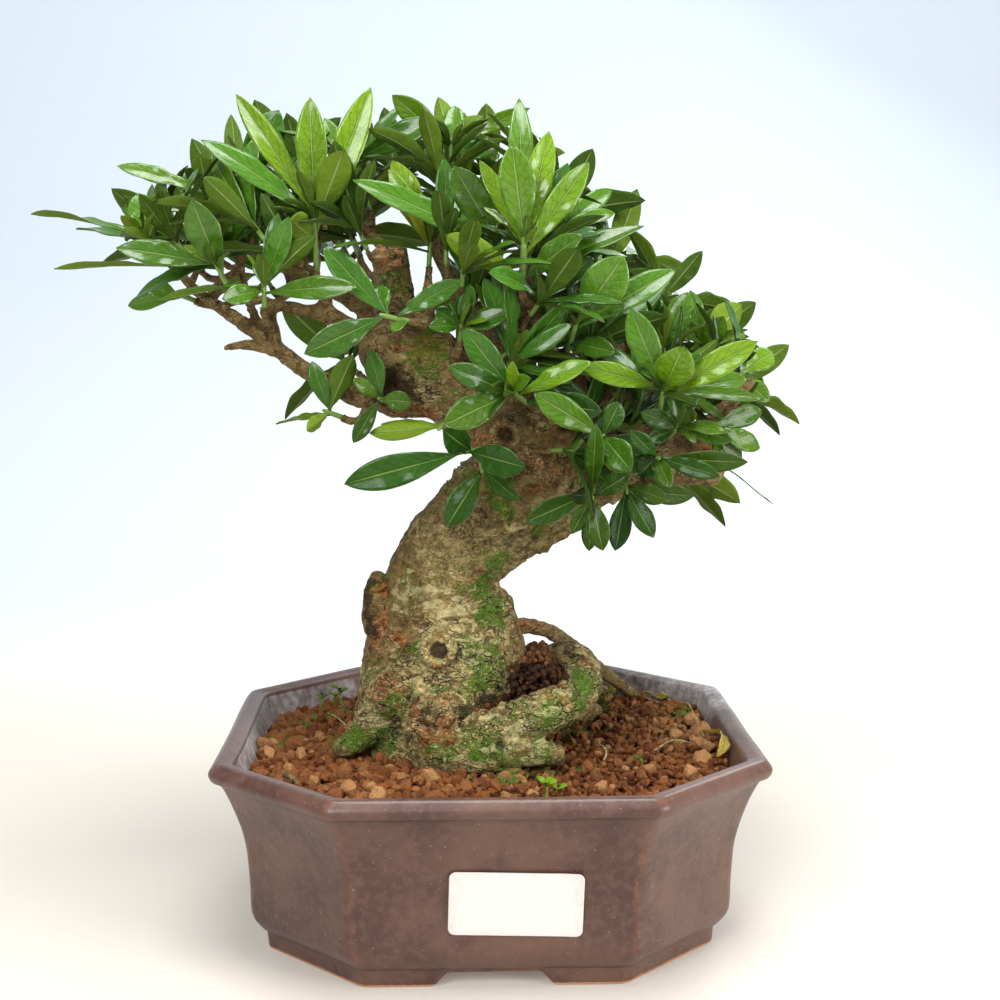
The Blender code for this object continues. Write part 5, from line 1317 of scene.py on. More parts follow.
class Bark:
    """Relief and colouring of the wood's skin."""

    def __init__(self, mesh, routes):
        self.mesh = mesh
        count = len(mesh.vertices)
        self.places = [v.co.copy() for v in mesh.vertices]
        self.normals = [v.normal.copy() for v in mesh.vertices]
        self.lift = np.zeros(count)
        self.marks = {name: np.zeros(count) for name in PATCHES}
        self.skin = skin_of(mesh)
        self.near = lookup(self.places)
        self.measure(routes)

    def measure(self, routes):
        """How far along its route each point lies, how thick the wood is there and how it folds."""
        spine, facts = [], []
        names = list(THICK_WOOD) + [""] * len(routes)
        for name, (route, radii) in zip(names, routes):
            fold = ROOT_FOLD if name.startswith("root") else PLATE_FOLD if "plate" in name else WOOD_FOLD
            run = 0.0
            for k, point in enumerate(route):
                run += (point - route[k - 1]).length if k else 0.0
                spine.append(point)
                facts.append((run, radii[k] * MM, fold))
        search = lookup(spine)
        best = (min(search.find_n(place, 3), key=lambda hit: hit[2] - facts[hit[1]][1])
                for place in self.places)
        self.run, self.girth, self.folds = zip(*(facts[hit[1]] for hit in best))

    def roughen(self):
        """Lumps, wrinkles round the wood, warts and fine grit."""
        for k, place in enumerate(self.places):
            size = min(1.0, self.girth[k] / (13 * MM))
            spot = place / MM
            swell = noise.noise(spot / 12) * 1.0 + noise.noise(spot / 5.2 + Vector((9, 0, 0))) * 0.9
            where = soften(-0.3, 0.3, noise.noise(spot / 16 + Vector((0, 5, 0))))
            pitch, tall = self.folds[k]
            wave = self.run[k] / MM / pitch + 1.3 * noise.noise(spot / 6 + Vector((0, 0, 3)))
            wrinkle = (0.5 - 1.7 * (2 * abs((wave % 1.0) - 0.5)) ** 5) * tall * where
            split = abs(noise.noise(Vector((spot.x / 5, spot.y / 5, spot.z / 2.6)) + Vector((2, 8, 1))))
            wrinkle -= 0.8 * soften(0.10, 0.0, split)
            cell = noise.voronoi(Vector((spot.x / 3.6, spot.y / 3.6, spot.z / 2.8)))[0][0]
            wart = soften(0.5, 0.15, cell) * soften(0.0, 0.3, noise.noise(spot / 14 + Vector((4, 4, 0))))
            grit = noise.noise(spot / 1.7) * 0.35 + noise.noise(spot / 2.8 + Vector((7, 7, 7))) * 0.55
            self.lift[k] = (swell + wrinkle + wart + grit) * (0.25 + 0.75 * size)

    def within(self, place, reach):
        return [(k, gap) for _, k, gap in self.near.find_range(place, reach)]

    def mark(self, name, k, amount):
        self.marks[name][k] = max(self.marks[name][k], amount)

    def patch(self, name, place, radius, strength):
        for k, gap in self.within(place, radius * 1.8):
            spot = self.places[k] / MM
            far = gap / radius * (1 + 0.9 * noise.noise(spot / 4.5) + 0.5 * noise.noise(spot / 1.8))
            self.mark(name, k, strength * soften(1.25, 0.45, far))

    def stub(self, place, radius, strength):
        """Healed cut: a raised ring with a hollow in it, the hollow darkened as painted shade, and wrinkles
        spreading round it.
        """
        for k, gap in self.within(place, radius * 4):
            far = gap / radius
            ring = math.exp(-((far - 1.0) / 0.26) ** 2) * 1.5
            hollow = soften(0.88, 0.5, far)
            spread = math.cos(far * 9.0) * 0.35 * soften(4.0, 1.3, far) if far > 1.2 else 0.0
            self.lift[k] = self.lift[k] * soften(0.3, 1.4, far) + strength * (ring - 2.2 * hollow + spread)
            # Painted shade in the hollow
            self.mark("soot", k, 0.8 * hollow * strength)
            self.mark("rust", k, 0.5 * ring * strength * (noise.noise(self.places[k] / (3 * MM)) > -0.05))
            self.mark("pale", k, 0.45 * ring * strength)

    def wound(self, place, radius, strength):
        """Open cut: a rusty face inside a torn, rolled edge."""
        for k, gap in self.within(place, radius * 1.8):
            far = gap / radius + 0.22 * noise.noise(self.places[k] / (3 * MM))
            edge = math.exp(-((far - 1.0) / 0.16) ** 2) * 1.2
            face = soften(0.95, 0.8, far)
            self.lift[k] += strength * (edge - 0.7 * face)
            self.mark("rust", k, max(face * strength, 0.9 * edge * strength))
            self.marks["moss"][k] *= 1 - face
            self.mark("soot", k, 0.34 * face * strength * (noise.noise(self.places[k] / (4 * MM)) > -0.1))

    def read_marks(self):
        """The marks read from the viewpoint, each where its reading meets the skin."""
        kinds = [(rows, self.patch, (name,)) for name, rows in PATCHES.items()]
        for rows, work, first in kinds + [(STUBS, self.stub, ()), (WOUNDS, self.wound, ())]:
            for across, down, radius, strength in rows:
                place = self.skin.ray_cast(EYE, sight(across, down))[0]
                if place is not None:
                    work(*first, place, radius * MM, strength)

    def scatter_marks(self):
        """Marks of the same kinds all round the wood, by a seeded rule."""
        rng = random.Random(f"{SEED} marks")
        for _ in range(BACK_MARKS):
            k = rng.randrange(len(self.places))
            place, radius = self.places[k], rng.uniform(2.5, 9) * MM
            if self.normals[k].y < -0.25 and abs(place.y) < 60 * MM:
                continue
            name = rng.choice(LOW_MARKS if place.z < 110 * MM else HIGH_MARKS)
            self.patch(name, place, min(radius, self.girth[k]), rng.uniform(0.4, 0.85))
            if rng.random() < 0.12 and self.girth[k] > 8 * MM:
                self.stub(place, rng.uniform(2.5, 4.5) * MM, rng.uniform(0.4, 0.8))

    def settle(self):
        """Moves the skin and gives it its colours."""
        rng = random.Random(f"{SEED} skin")
        # Height of the moved skin; the bark finish darkens its low places as painted shade
        ridge = np.clip(self.lift / 2.2 + 0.5, 0, 1)
        growth, build = [], []
        for k, (vertex, place, normal) in enumerate(zip(self.mesh.vertices, self.places, self.normals)):
            vertex.co += normal * (self.lift[k] * 0.9 * MM)
            moss, rust, pale, soot = (self.marks[name][k] for name in PATCHES)
            damp = 0.45 * soften(80 * MM, 58 * MM, place.z) * max(0.0, normal.z + 0.5)
            growth.append((max(moss, damp), rust * (1 - 0.7 * soot), pale, soot))
            build.append((soften(8 * MM, 3.5 * MM, self.girth[k]), float(ridge[k]), rng.random(), 1.0))
        return {"growth": growth, "build": build}


def make_tree(branches, finish):
    tree, routes = grown_wood(branches)
    bark = Bark(tree.data, routes)
    bark.roughen()
    bark.scatter_marks()
    bark.read_marks()
    dress(tree, finish, bark.settle(), nodes=("trunk",))
    return skin_of(tree.data)


def thin_bark(points, rng, low, high):
    """Point colours of thin wood: its ridges lie between low and high."""
    return [(1.0, rng.uniform(low, high), rng.random(), 1.0) for _ in points]


def make_twigs(twigs, finish):
    """Brown twigs with ring scars, from the branches to the green shoots."""
    batch = Batch()
    skin_rng = random.Random(f"{SEED} twigs")
    for name, (route, radii) in twigs.items():
        rng = random.Random(f"{SEED} {name}")
        fine, sizes = smooth_points(route, radii, 5)
        sizes = [size + 0.22 * max(0.0, math.sin(k * rng.uniform(0.9, 1.4))) for k, size in enumerate(sizes)]
        points, faces = round_tube(fine, sizes, 8, 0.35, rng.uniform(0, 50))
        batch.add(points, faces, growth=(0.1, 0.15, 0.15, 0.0), build=thin_bark(points, skin_rng, 0.3, 0.8))
    batch.make("twigs", finish, "bark")


def make_wiry_root(finish):
    """Dark bare root that arches over the looped one and runs into the soil."""
    batch = Batch()
    points, faces = round_tube(*smooth_route(WIRY_ROOT, 9), 14, 0.55, 3.0)
    growth = [(0.0, max(0.15, 0.7 - 0.9 * k / len(points)), 0.0, 0.30) for k in range(len(points))]
    build = thin_bark(points, random.Random(f"{SEED} wiry"), 0.35, 0.7)
    batch.add(points, faces, growth=growth, build=build)
    batch.make("wiry_root", finish, "bark")


# Outline of the thick part of the crown, by reading
LEAFY = [(118, 196), (150, 178), (196, 160), (232, 122), (262, 104), (300, 112), (340, 104), (400, 100),
         (440, 108), (500, 112), (532, 122), (560, 152), (586, 186), (606, 204), (612, 236), (636, 256),
         (664, 272), (684, 300), (736, 308), (758, 345), (762, 380), (748, 430), (738, 462), (708, 484),
         (690, 508), (650, 532), (610, 540), (588, 520), (575, 470), (560, 430), (568, 396), (520, 372),
         (480, 352), (446, 300), (432, 232), (420, 206), (366, 204), (350, 262), (300, 268), (262, 268),
         (210, 272), (150, 268), (120, 240)]
TENDER_TRIES = 9
BARE_SHOOTS = ("far_right", "right_edge", "right_under", "oval", "low_right", "low_middle", "low_left",
               "low_front", "pale_under", "left_under", "left_hanging", "far_left_low")
INNER_SHOOTS = 60
INNER_TRIES = 4000
INNER_STRAY = 7 * MM
INNER_REACH = 62 * MM
INNER_ROOM = 6.5 * MM
INNER_LENGTH = 7
INNER_LEAVES = 7
INNER_FEWEST = 4
INNER_SLIMNESS = 0.78
TAKEN_AT = (0.2, 0.5, 0.8)


def gauss_vector(rng):
    return Vector([rng.gauss(0, 1) for _ in range(3)])


def stray(rng, reach):
    return rng.uniform(-reach, reach)


def inner_shoots(crown, carriers):
    """More shoots in the hollows of the crown, each on its own twig, by a seeded rule."""
    rng = random.Random(f"{SEED} inner")
    hearts = [spray.heart for spray in crown.sprays]
    middle = seen(*BACK_CENTRE)
    taken = [place for spray in crown.sprays for leaf in spray.leaves
             for place in leaf.places(*TAKEN_AT)]
    grown, twigs = [], {}
    for attempt in range(INNER_TRIES):
        if len(grown) == INNER_SHOOTS:
            break
        one, other = rng.sample(hearts, 2)
        aside = gauss_vector(rng) * INNER_STRAY
        heart = one.lerp(other, rng.uniform(0.2, 0.8)) + aside
        crowded = min((heart - place).length for place in taken) < INNER_ROOM
        if crowded or (one - other).length > INNER_REACH or not in_outline(*reading(heart), LEAFY):
            continue
        grows = (heart - middle).normalized() + UP * 0.6
        spray = Spray(f"inner_{attempt}", (0, 0, 0), grows, INNER_LENGTH)
        spray.heart = heart
        route, radii = twig_route(spray, carriers, crown.shoots)
        twig = tube_guard(route[:-1], radii)
        shoot = tube_guard([spray.start, heart], [1, 1], LEAF_CLEARANCE)
        far = (route[0] - route[-1]).length > INNER_REACH * 0.8
        crowded = far or any(shoot.meets(guard) for guard in crown.wood)
        if crowded or any(twig.meets(blade) or shoot.meets(blade)
                          for blades in crown.blades.values() for blade, _ in blades):
            continue
        crown.enter(spray, shoot)
        for rank in range(INNER_LEAVES + 3):
            if len(spray.leaves) < INNER_LEAVES:
                crown.add(spray, inner_leaf(spray, rank, rng))
        if len(spray.leaves) < INNER_FEWEST:
            crown.drop_last()
            continue
        crown.wood.append(tube_guard(route[:-1], radii, LEAF_CLEARANCE))
        taken += [place for leaf in spray.leaves for place in leaf.places(*TAKEN_AT)] + [heart]
        twigs["twig_" + spray.name] = (route, [size * 0.8 for size in radii])
        grown.append(spray)
    return grown, twigs


def make_inner_leaves(grown, finish):
    """The leaves of the inner shoots, darker and plainer than the outer ones."""
    batch = Batch()
    for spray in grown:
        rng = random.Random(f"{SEED} blades {spray.name}")
        batch.tube(*spray.stem([0.85, 0.7, 0.3], 4), 8, 0.15, tone=(0.3, rng.random(), 0.0, 0.0))
        near_top = soften(215 * MM, 262 * MM, spray.heart.z)
        youth = rng.choice((0.0, 0.0, 0.05, 0.1, 0.2, 0.3)) + near_top * rng.uniform(0.1, 0.45)
        for leaf in spray.leaves:
            own = max(0.0, youth + rng.gauss(0, 0.08))
            Blade(leaf, rng, own, 0.0, rng.uniform(0.03, 0.10), SMALL_GRID).add_to(batch)
    batch.make("inner_leaves", finish, "leaf")


def make_sprays(crown, finish):
    """Every leafy spray: its green shoot, the leaves of its solid in fine form and small young ones."""
    settled = [len(spray.leaves) for spray in crown.sprays]
    for spray in crown.sprays:
        rng = random.Random(f"{SEED} tender {spray.name}")
        if spray.name.removeprefix("spray_") not in BARE_SHOOTS:
            for rank in range(TENDER_TRIES):
                crown.add(spray, tender_leaf(spray, rank, rng))
    for spray, first_tender in zip(crown.sprays, settled):
        rng = random.Random(f"{SEED} blades {spray.name}")
        spray_youth = rng.choice((0.0, 0.05, 0.1, 0.15, 0.2, 0.35))
        batch = Batch()
        stem = spray.stem([spray.girth, spray.girth * 0.85, 0.35], 5)
        batch.tube(*stem, 10, 0.15, tone=(0.35, rng.random(), 0.0, 0.0))
        for rank, leaf in enumerate(spray.leaves):
            given = rank < len(spray.youth)
            youth = spray.youth[rank] if given else min(1, max(0, rng.gauss(spray_youth, 0.12)))
            if rank >= first_tender:
                youth = min(1.0, youth + rng.choice((0.0, 0.05, 0.1, 0.2, 0.45)))
            age = spray.ages[rank] if rank < len(spray.ages) else 0.0
            grid = SMALL_GRID if leaf.length < LARGE_LEAF_LENGTH * 0.7 else LARGE_GRID
            Blade(leaf, rng, youth, age, rng.uniform(0.03, 0.10), grid).add_to(batch)
        batch.make(spray.name.replace("spray", "leaves"), finish, "leaf", nodes=(spray.name,))


def rounded_ring(half, height):
    """Points of the pot's outline with rounded corners; half width and height in mm."""
    scale = half * MM / POT_HALF
    quarters = [Matrix.Rotation(quarter * math.pi / 2, 3, "Z") for quarter in range(4)]
    corners = [turn @ Vector((x, y, 0)) * scale for turn in quarters
               for x, y in ((POT_HALF, POT_FACE_HALF), (POT_FACE_HALF, POT_HALF))]
    ring = []
    for i, corner in enumerate(corners):
        before, after = corners[i - 1], corners[(i + 1) % len(corners)]
        enter = corner + (before - corner).normalized() * CORNER_ROUND
        leave = corner + (after - corner).normalized() * CORNER_ROUND
        ahead = after + (corner - after).normalized() * CORNER_ROUND
        ring += [bow(enter, corner, leave, step / CORNER_STEPS) for step in range(CORNER_STEPS + 1)]
        ring += [leave.lerp(ahead, step / WALL_STEPS) for step in range(1, WALL_STEPS)]
    return [Vector((p.x, p.y, height * MM)) for p in ring]


def eased_profile(rows, steps=4):
    """A profile with its kinks rounded: points of a Catmull-Rom curve."""
    points = [Vector((half, 0, height)) for half, height in rows]
    return [(point.x, point.z) for point in smooth_points(points, [0] * len(points), steps)[0]]


def hump(value, middle, width):
    return math.exp(-((value - middle) / width) ** 2)


def wear_of(place, normal):
    """Where the glaze is thin, where clay is bare, where a pale film lies that is partly dried lime and
    partly painted sheen, and where the wall is scratched.
    """
    angle = math.atan2(place.y, place.x)
    from_middle = math.hypot(place.x, place.y)
    halves = (POT_HALF, -POT_HALF, POT_FACE_HALF, -POT_FACE_HALF)
    closeness = min(abs((angle - math.atan2(y, x) + math.pi) % (2 * math.pi) - math.pi)
                    for x in halves for y in halves if abs(abs(x) - abs(y)) > MM)
    height = place.z / MM
    inside = height > 12 and (normal.x * place.x + normal.y * place.y) < 0
    corner = 0.0 if inside else 0.55 * soften(3.2 * MM, 0.8 * MM, closeness * from_middle)
    rim = 0.1 if inside else 0.18 * hump(height, 59.4, 1.8)
    top = 0.42 * normal.z if height > 59 else 0.0
    edge = max(corner, rim, 0.35 * hump(height, 6.0, 1.5), 0.5 * hump(height, 1.5, 0.9), top)
    beneath = height < 6.5 and from_middle < wall_reach(angle, 66.5 * MM)
    bare = max(soften(1.3, 0.3, height), 0.9 if beneath else 0.0)
    # Pale film on the upper walls, heaviest on the inner left wall and at the back right: partly dried lime,
    # partly a painted sheen
    left = soften(0, -80 * MM, place.x)
    lime = (0.1 + 0.55 * left) if inside and 45 < height < 60.3 else 0.04 * soften(40, 60, height)
    far_right = soften(10 * MM, 55 * MM, place.x) * soften(-10 * MM, 30 * MM, place.y)
    lime = max(lime, 0.62 * far_right * soften(44, 58, height))
    scratch = soften(20 * MM, 70 * MM, place.x) if place.x > 20 * MM else 0.15
    return edge, bare, lime, scratch


def foot_gap(turn):
    """Outlines of an arched gap between the feet, on two sides of the pot; turn is a quarter or none."""
    run, drop = FOOT_GAP_BOTTOM / 2, -3 * MM
    arch = []
    for step in range(25):
        t = step / 24 * 2 - 1
        arch.append((run * t, FOOT_GAP_HEIGHT * soften(1.0, FOOT_GAP_TOP / FOOT_GAP_BOTTOM, abs(t))))
    outline = [(-run, drop)] + arch + [(run, drop)]
    return [[Matrix.Rotation(turn, 3, "Z") @ Vector((x, y, z)) for x, z in outline]
            for y in (-2 * POT_HALF, 2 * POT_HALF)]


def solid_shape(outlines):
    """Solid through two outlines."""
    shape = bmesh.new()
    points, faces = capped(outlines)
    corners = [shape.verts.new(p) for p in points]
    for face in faces:
        shape.faces.new([corners[k] for k in face])
    return shape


def drain_shape(side):
    shape = bmesh.new()
    middle = Matrix.Translation((side * DRAIN_OFFSET, 0, FLOOR_TOP / 2))
    bmesh.ops.create_cone(shape, cap_ends=True, segments=32, radius1=DRAIN_RADIUS, radius2=DRAIN_RADIUS,
                          depth=3 * FLOOR_TOP, matrix=middle)
    return shape


def make_pot(finish):
    """Glazed pot with eased profile, rounded corners, feet and drain holes."""
    lip = eased_profile([*POT_OUTSIDE[-2:], POT_LIP, *POT_INSIDE[:2]])[4:13]
    rows = eased_profile(POT_OUTSIDE)[:-1] + lip[:-1] + eased_profile(POT_INSIDE)
    points, faces = capped([rounded_ring(half, height) for half, height in rows])
    for k, p in enumerate(points):
        sway = noise.noise(p / (38 * MM)) * 0.35 * MM + noise.noise(p / (9 * MM)) * 0.08 * MM
        points[k] = p + Vector((p.x, p.y, 0)).normalized() * sway * (1 if p.z > 1 * MM else 0)
    shell = Batch()
    shell.add(points, faces)
    pot = put("glazed_pot", shell.mesh("glazed_pot"))
    cutters = bpy.data.collections.new("pot_cutters")
    bpy.context.scene.collection.children.link(cutters)
    hollow = [rounded_ring(half, height) for half, height in UNDER_FLOOR]
    shapes = [solid_shape(outlines) for outlines in (hollow, foot_gap(0), foot_gap(math.pi / 2))]
    for shape in shapes + [drain_shape(-1), drain_shape(1)]:
        bmesh.ops.recalc_face_normals(shape, faces=shape.faces)
        mesh = bpy.data.meshes.new("cutter")
        shape.to_mesh(mesh)
        shape.free()
        cutters.objects.link(bpy.data.objects.new("cutter", mesh))
    reshape(pot, ("BOOLEAN", {"operation": "DIFFERENCE", "operand_type": "COLLECTION", "collection": cutters,
                              "solver": "EXACT"}))
    for held in list(cutters.objects):
        bpy.data.objects.remove(held)
    bpy.data.collections.remove(cutters)
    wear = [wear_of(v.co, v.normal) for v in pot.data.vertices]
    dress(pot, finish, {"wear": wear}, nodes=("pot",))
    pot.data.set_sharp_from_angle(angle=math.radians(50))


def label_outline():
    """Points every 2 mm or less round the label's rounded edge, from its middle."""
    outline = []
    for k, (side, end) in enumerate(((1, 1), (-1, 1), (-1, -1), (1, -1))):
        for step in range(7):
            angle = (k + step / 6) * math.pi / 2
            outline.append((side * (LABEL_WIDTH / 2 - LABEL_CORNER) + LABEL_CORNER * math.cos(angle),
                            end * (LABEL_HEIGHT / 2 - LABEL_CORNER) + LABEL_CORNER * math.sin(angle)))
    dense = []
    for (x0, z0), (x1, z1) in zip(outline, outline[1:] + outline[:1]):
        steps = max(1, round(math.hypot(x1 - x0, z1 - z0) / (2 * MM)))
        dense += [(x0 + (x1 - x0) * t / steps, z0 + (z1 - z0) * t / steps) for t in range(steps)]
    return dense


def make_label(finish):
    """Blank sticker with rounded corners, pressed on the wall, one corner a little proud."""
    rng = random.Random(f"{SEED} label")
    outline = label_outline()
    bottom = LABEL_MIDDLE.z - LABEL_HEIGHT / 2
    slope = (wall_half(bottom + LABEL_HEIGHT) - wall_half(bottom)) / LABEL_HEIGHT
    points, tones = [], []
    shrinks = (1.0, 0.985, 0.93, 0.8, 0.6, 0.35, 0.0)
    for depth in (0, 1):
        for shrink in shrinks:
            for x, z in outline:
                x, z = x * shrink, z * shrink
                height = LABEL_MIDDLE.z + z * math.cos(LABEL_TURN) - x * math.sin(LABEL_TURN)
                across = LABEL_MIDDLE.x + (x * math.cos(LABEL_TURN) + z * math.sin(LABEL_TURN))
                place = Vector((across, 0, height))
                lift = 0.12 * noise.noise(place / (6 * MM))
                lift += 0.5 * soften(17, 24, math.hypot(x, z) / MM) * (x > 0)
                wall = wall_half(bottom) + slope * (height - bottom)
                away = LABEL_STANDOFF + (lift + LABEL_PAPER * depth) * MM
                points.append(Vector((place.x, -wall - away, height)))
                tones.append((soften(0.75, 1.0, shrink), rng.random(), float(1 - depth), 0.0))
    count, layers = len(outline), len(shrinks)
    faces = ring_faces(layers, count, inward=True) + ring_faces(layers, count, layers * count)
    rims = [(k, (k + 1) % count) for k in range(count)]
    faces += [(a, b, layers * count + b, layers * count + a) for a, b in rims]
    batch = Batch()
    batch.add(points, faces, tone=tones)
    batch.make("paper_label", finish, "label_paper", nodes=("label",))


def make_screen(name, side, node, finish):
    """Moulded mesh over a drain hole: a rim with crossed bars."""
    middle = Vector((side * DRAIN_OFFSET, 0, FLOOR_TOP + SEAT_GAP + SCREEN_THICKNESS / 2))
    batch = Batch()
    reach = SCREEN_SIDE / 2 - 0.6 * MM
    for k in range(SCREEN_BARS):
        shift = -reach + 2 * reach * k / (SCREEN_BARS - 1)
        size = 0.58 if k in (0, SCREEN_BARS - 1) else 0.42
        for first, last in ((Vector((shift, -reach, 0)), Vector((shift, reach, 0))),
                            (Vector((-reach, shift, 0)), Vector((reach, shift, 0)))):
            route = [middle + first.lerp(last, t / 6) for t in range(7)]
            batch.tube(route, [size] * 7, 8, tone=(0.0, 0.0, 0.0, 0.0))
    batch.make(name, finish, "screen_plastic", nodes=(node,))


def lump_forms(rounds, count, seed, pressed, closest, swell):
    """Unit lumps with chipped faces: spheres pressed by random planes and roughened."""
    rng = random.Random(f"{SEED} lumps {seed}")
    forms = []
    for _ in range(count):
        shape = bmesh.new()
        bmesh.ops.create_icosphere(shape, subdivisions=rounds, radius=1)
        planes = [(gauss_vector(rng).normalized(), rng.uniform(closest, 0.94)) for _ in range(pressed)]
        offset = Vector((rng.uniform(0, 90), 0, 0))
        points = []
        for vertex in shape.verts:
            p = vertex.co.copy()
            p *= 1 + swell * noise.noise(p * 1.2 + offset) + 0.6 * swell * noise.noise(p * 3 + offset)
            for normal, limit in planes:
                over = p.dot(normal) - limit
                if over > 0:
                    p -= normal * over * 0.92
            points.append(tuple(p))
        forms.append((np.array(points), [tuple(v.index for v in face.verts) for face in shape.faces]))
        shape.free()
    return forms


def make_soil_bed(finish):
    """Packed soil under the loose granules, from the floor to just below the top, darkened as painted shade.
    """
    rings, count = 34, 128
    half = (POT_INSIDE[2][0] - 0.8) * MM
    lowest = FLOOR_TOP + SEAT_GAP + SCREEN_THICKNESS + 0.6 * MM
    points = [Vector((0, 0, soil_top(0, 0) - 1.6 * MM))]
    for ring in range(1, rings + 1):
        for angle in turns(count):
            reach = wall_reach(angle, half) * ring / rings
            x, y = reach * math.cos(angle), reach * math.sin(angle)
            rough = noise.noise(Vector((x, y, 0)) / (2.6 * MM)) * 0.9
            rough += noise.noise(Vector((x, y, 3)) / (6 * MM)) * 0.6
            points.append(Vector((x, y, soil_top(x, y) + (rough - 1.7) * MM)))
    walls = POT_INSIDE[3:]
    for half_low, height in walls:
        for angle in turns(count):
            reach = wall_reach(angle, half_low * MM - SOIL_SIDE_GAP)
            x, y = reach * math.cos(angle), reach * math.sin(angle)
            points.append(Vector((x, y, max(height * MM, lowest))))
    faces = [(0, 1 + k, 1 + (k + 1) % count) for k in range(count)]
    faces += ring_faces(rings + len(walls), count, 1, inward=True)
    faces.append(tuple(reversed(range(len(points) - count, len(points)))))
    batch = Batch()
    # Its fourth channel darkens the whole bed as painted shade under the granules
    batch.add(points, faces, clay=(0.0, 0.2, 0.1, 0.62))
    batch.make("soil_bed", finish, "clay_granules", nodes=("soil",))


# Large tan lumps by reading: (across, down, size mm)
BIG_LUMPS = [(432, 781, 3.9), (345, 793, 3.5), (378, 799, 3.6), (300, 757, 2.9), (262, 757, 2.9),
             (290, 771, 3.0), (520, 690, 3.9), (536, 693, 2.8), (617, 687, 2.8), (600, 790, 2.8),
             (532, 798, 2.6), (650, 772, 2.6), (702, 762, 3.4), (690, 775, 2.9), (708, 735, 3.4),
             (690, 722, 3.2), (715, 722, 2.8), (700, 745, 3.0), (352, 690, 2.8), (513, 773, 2.8),
             (505, 781, 2.4), (507, 798, 2.0), (270, 745, 2.6), (320, 742, 2.6), (722, 750, 2.8),
             (676, 736, 2.6), (610, 702, 2.7)]
# Moss: (across, down, reach mm, tufts, youth)
MOSS_BEDS = [(352, 745, 9, 150, 0.3), (385, 746, 9, 170, 0.35), (405, 748, 6, 80, 0.4),
             (372, 738, 7, 90, 0.5), (498, 770, 10, 150, 0.15), (535, 768, 10, 150, 0.25),
             (560, 760, 8, 90, 0.2), (470, 758, 7, 70, 0.15), (598, 700, 7, 120, 0.3),
             (604, 712, 5, 50, 0.3), (455, 745, 4, 40, 0.3), (512, 782, 6, 50, 0.4),
             (480, 700, 5, 60, 0.2), (395, 700, 9, 60, 0.2), (350, 715, 8, 50, 0.2),
             (700, 715, 9, 50, 0.6)]
# Seedlings: (across, down, height mm, leaf mm, leaves, youth)
SEEDLINGS = [(346, 712, 10, 3.4, 3, 0.75), (322, 712, 7, 2.8, 3, 0.6), (470, 772, 5, 3.0, 3, 0.6),
             (546, 798, 4.5, 3.9, 4, 1.0), (555, 797, 3, 3.2, 3, 0.95), (335, 708, 8, 2.6, 2, 0.65),
             (604, 703, 5, 2.4, 3, 0.4), (640, 765, 3, 2.2, 2, 0.5)]
# Rootlets and stalks on the soil: rows of (across, down, lift mm)
THREADS = [[(652, 699, 0.5), (662, 697, 2.5), (672, 704, 0.6), (682, 700, 3.0), (690, 702, 0.8)],
           [(692, 706, 1), (704, 712, 2), (712, 724, 1.2), (713, 740, 1)],
           [(640, 697, 1), (655, 706, 1), (672, 712, 1)],
           [(598, 748, 1), (606, 758, 1.5), (604, 766, 1)],
           [(328, 718, 1), (338, 726, 2), (347, 732, 1)],
           [(655, 756, 1), (672, 750, 2.4), (690, 748, 1)]]
# Fallen twig: (across, down, lift mm); bare stalk over the rim: (across, down, depth mm)
FALLEN_TWIG = [(282, 778, 1.6), (290, 784, 2.2), (299, 788, 1.8)]
BARE_STALK = [(716, 462, -12), (738, 476, -16), (756, 491, -18), (773, 504, -19)]
# Fallen leaves: readings of base and tip, width mm, age, curl, where the face looks, arch
FALLEN_LEAVES = [((722, 736), (721, 766), 4.4, 0.70, 0.6, (1, -0.5, 0.5), 0.36),
                 ((606, 696), (634, 689), 6.0, 0.70, 0.5, (-0.3, -0.4, 1), 0.2),
                 ((652, 701), (666, 705), 2.6, 0.8, 0.5, (-0.3, -0.4, 1), 0.2),
                 ((562, 742), (574, 754), 3.0, 0.95, 0.8, (-0.3, -0.4, 1), 0.28)]
# Damp ground by reading: (across, down, reach mm, share)
DAMP_SPOTS = [(on_soil(across, down), reach * MM, share) for across, down, reach, share in (
    (505, 768, 13, 1.0), (540, 772, 9, 0.9), (372, 748, 9, 0.8), (470, 762, 9, 0.8), (598, 700, 9, 0.7),
    (400, 700, 12, 0.6), (340, 742, 7, 0.7))]
PALE_CORNER = on_soil(702, 728)
PALE_REACH = 17 * MM
# Hollow between the trunk and the looped root: its outline, two corners of the block that its crumbs are
# tried in (across, down, depth mm), their pitch, and the reading past which they lie in shade
POCKET = [(494, 706), (508, 690), (516, 668), (522, 652), (532, 643), (546, 643), (552, 656),
          (558, 668), (568, 678), (556, 690), (530, 698)]
POCKET_LOW = (466, 712, -30)
POCKET_HIGH = (572, 636, 16)
POCKET_PITCH = 1.9 * MM
POCKET_SHADE = (553, 664)
# Crumbs caught in the roots: (across, down, size mm, tan)
CREVICE_LUMPS = [(514, 673, 1.9, 0.6), (526, 691, 2.9, 1.0), (560, 677, 2.4, 0.2), (540, 652, 2.6, 0.2),
                 (512, 694, 1.6, 0.3), (500, 700, 1.5, 0.0), (488, 706, 1.4, 0.0), (476, 710, 1.3, 0.0)]


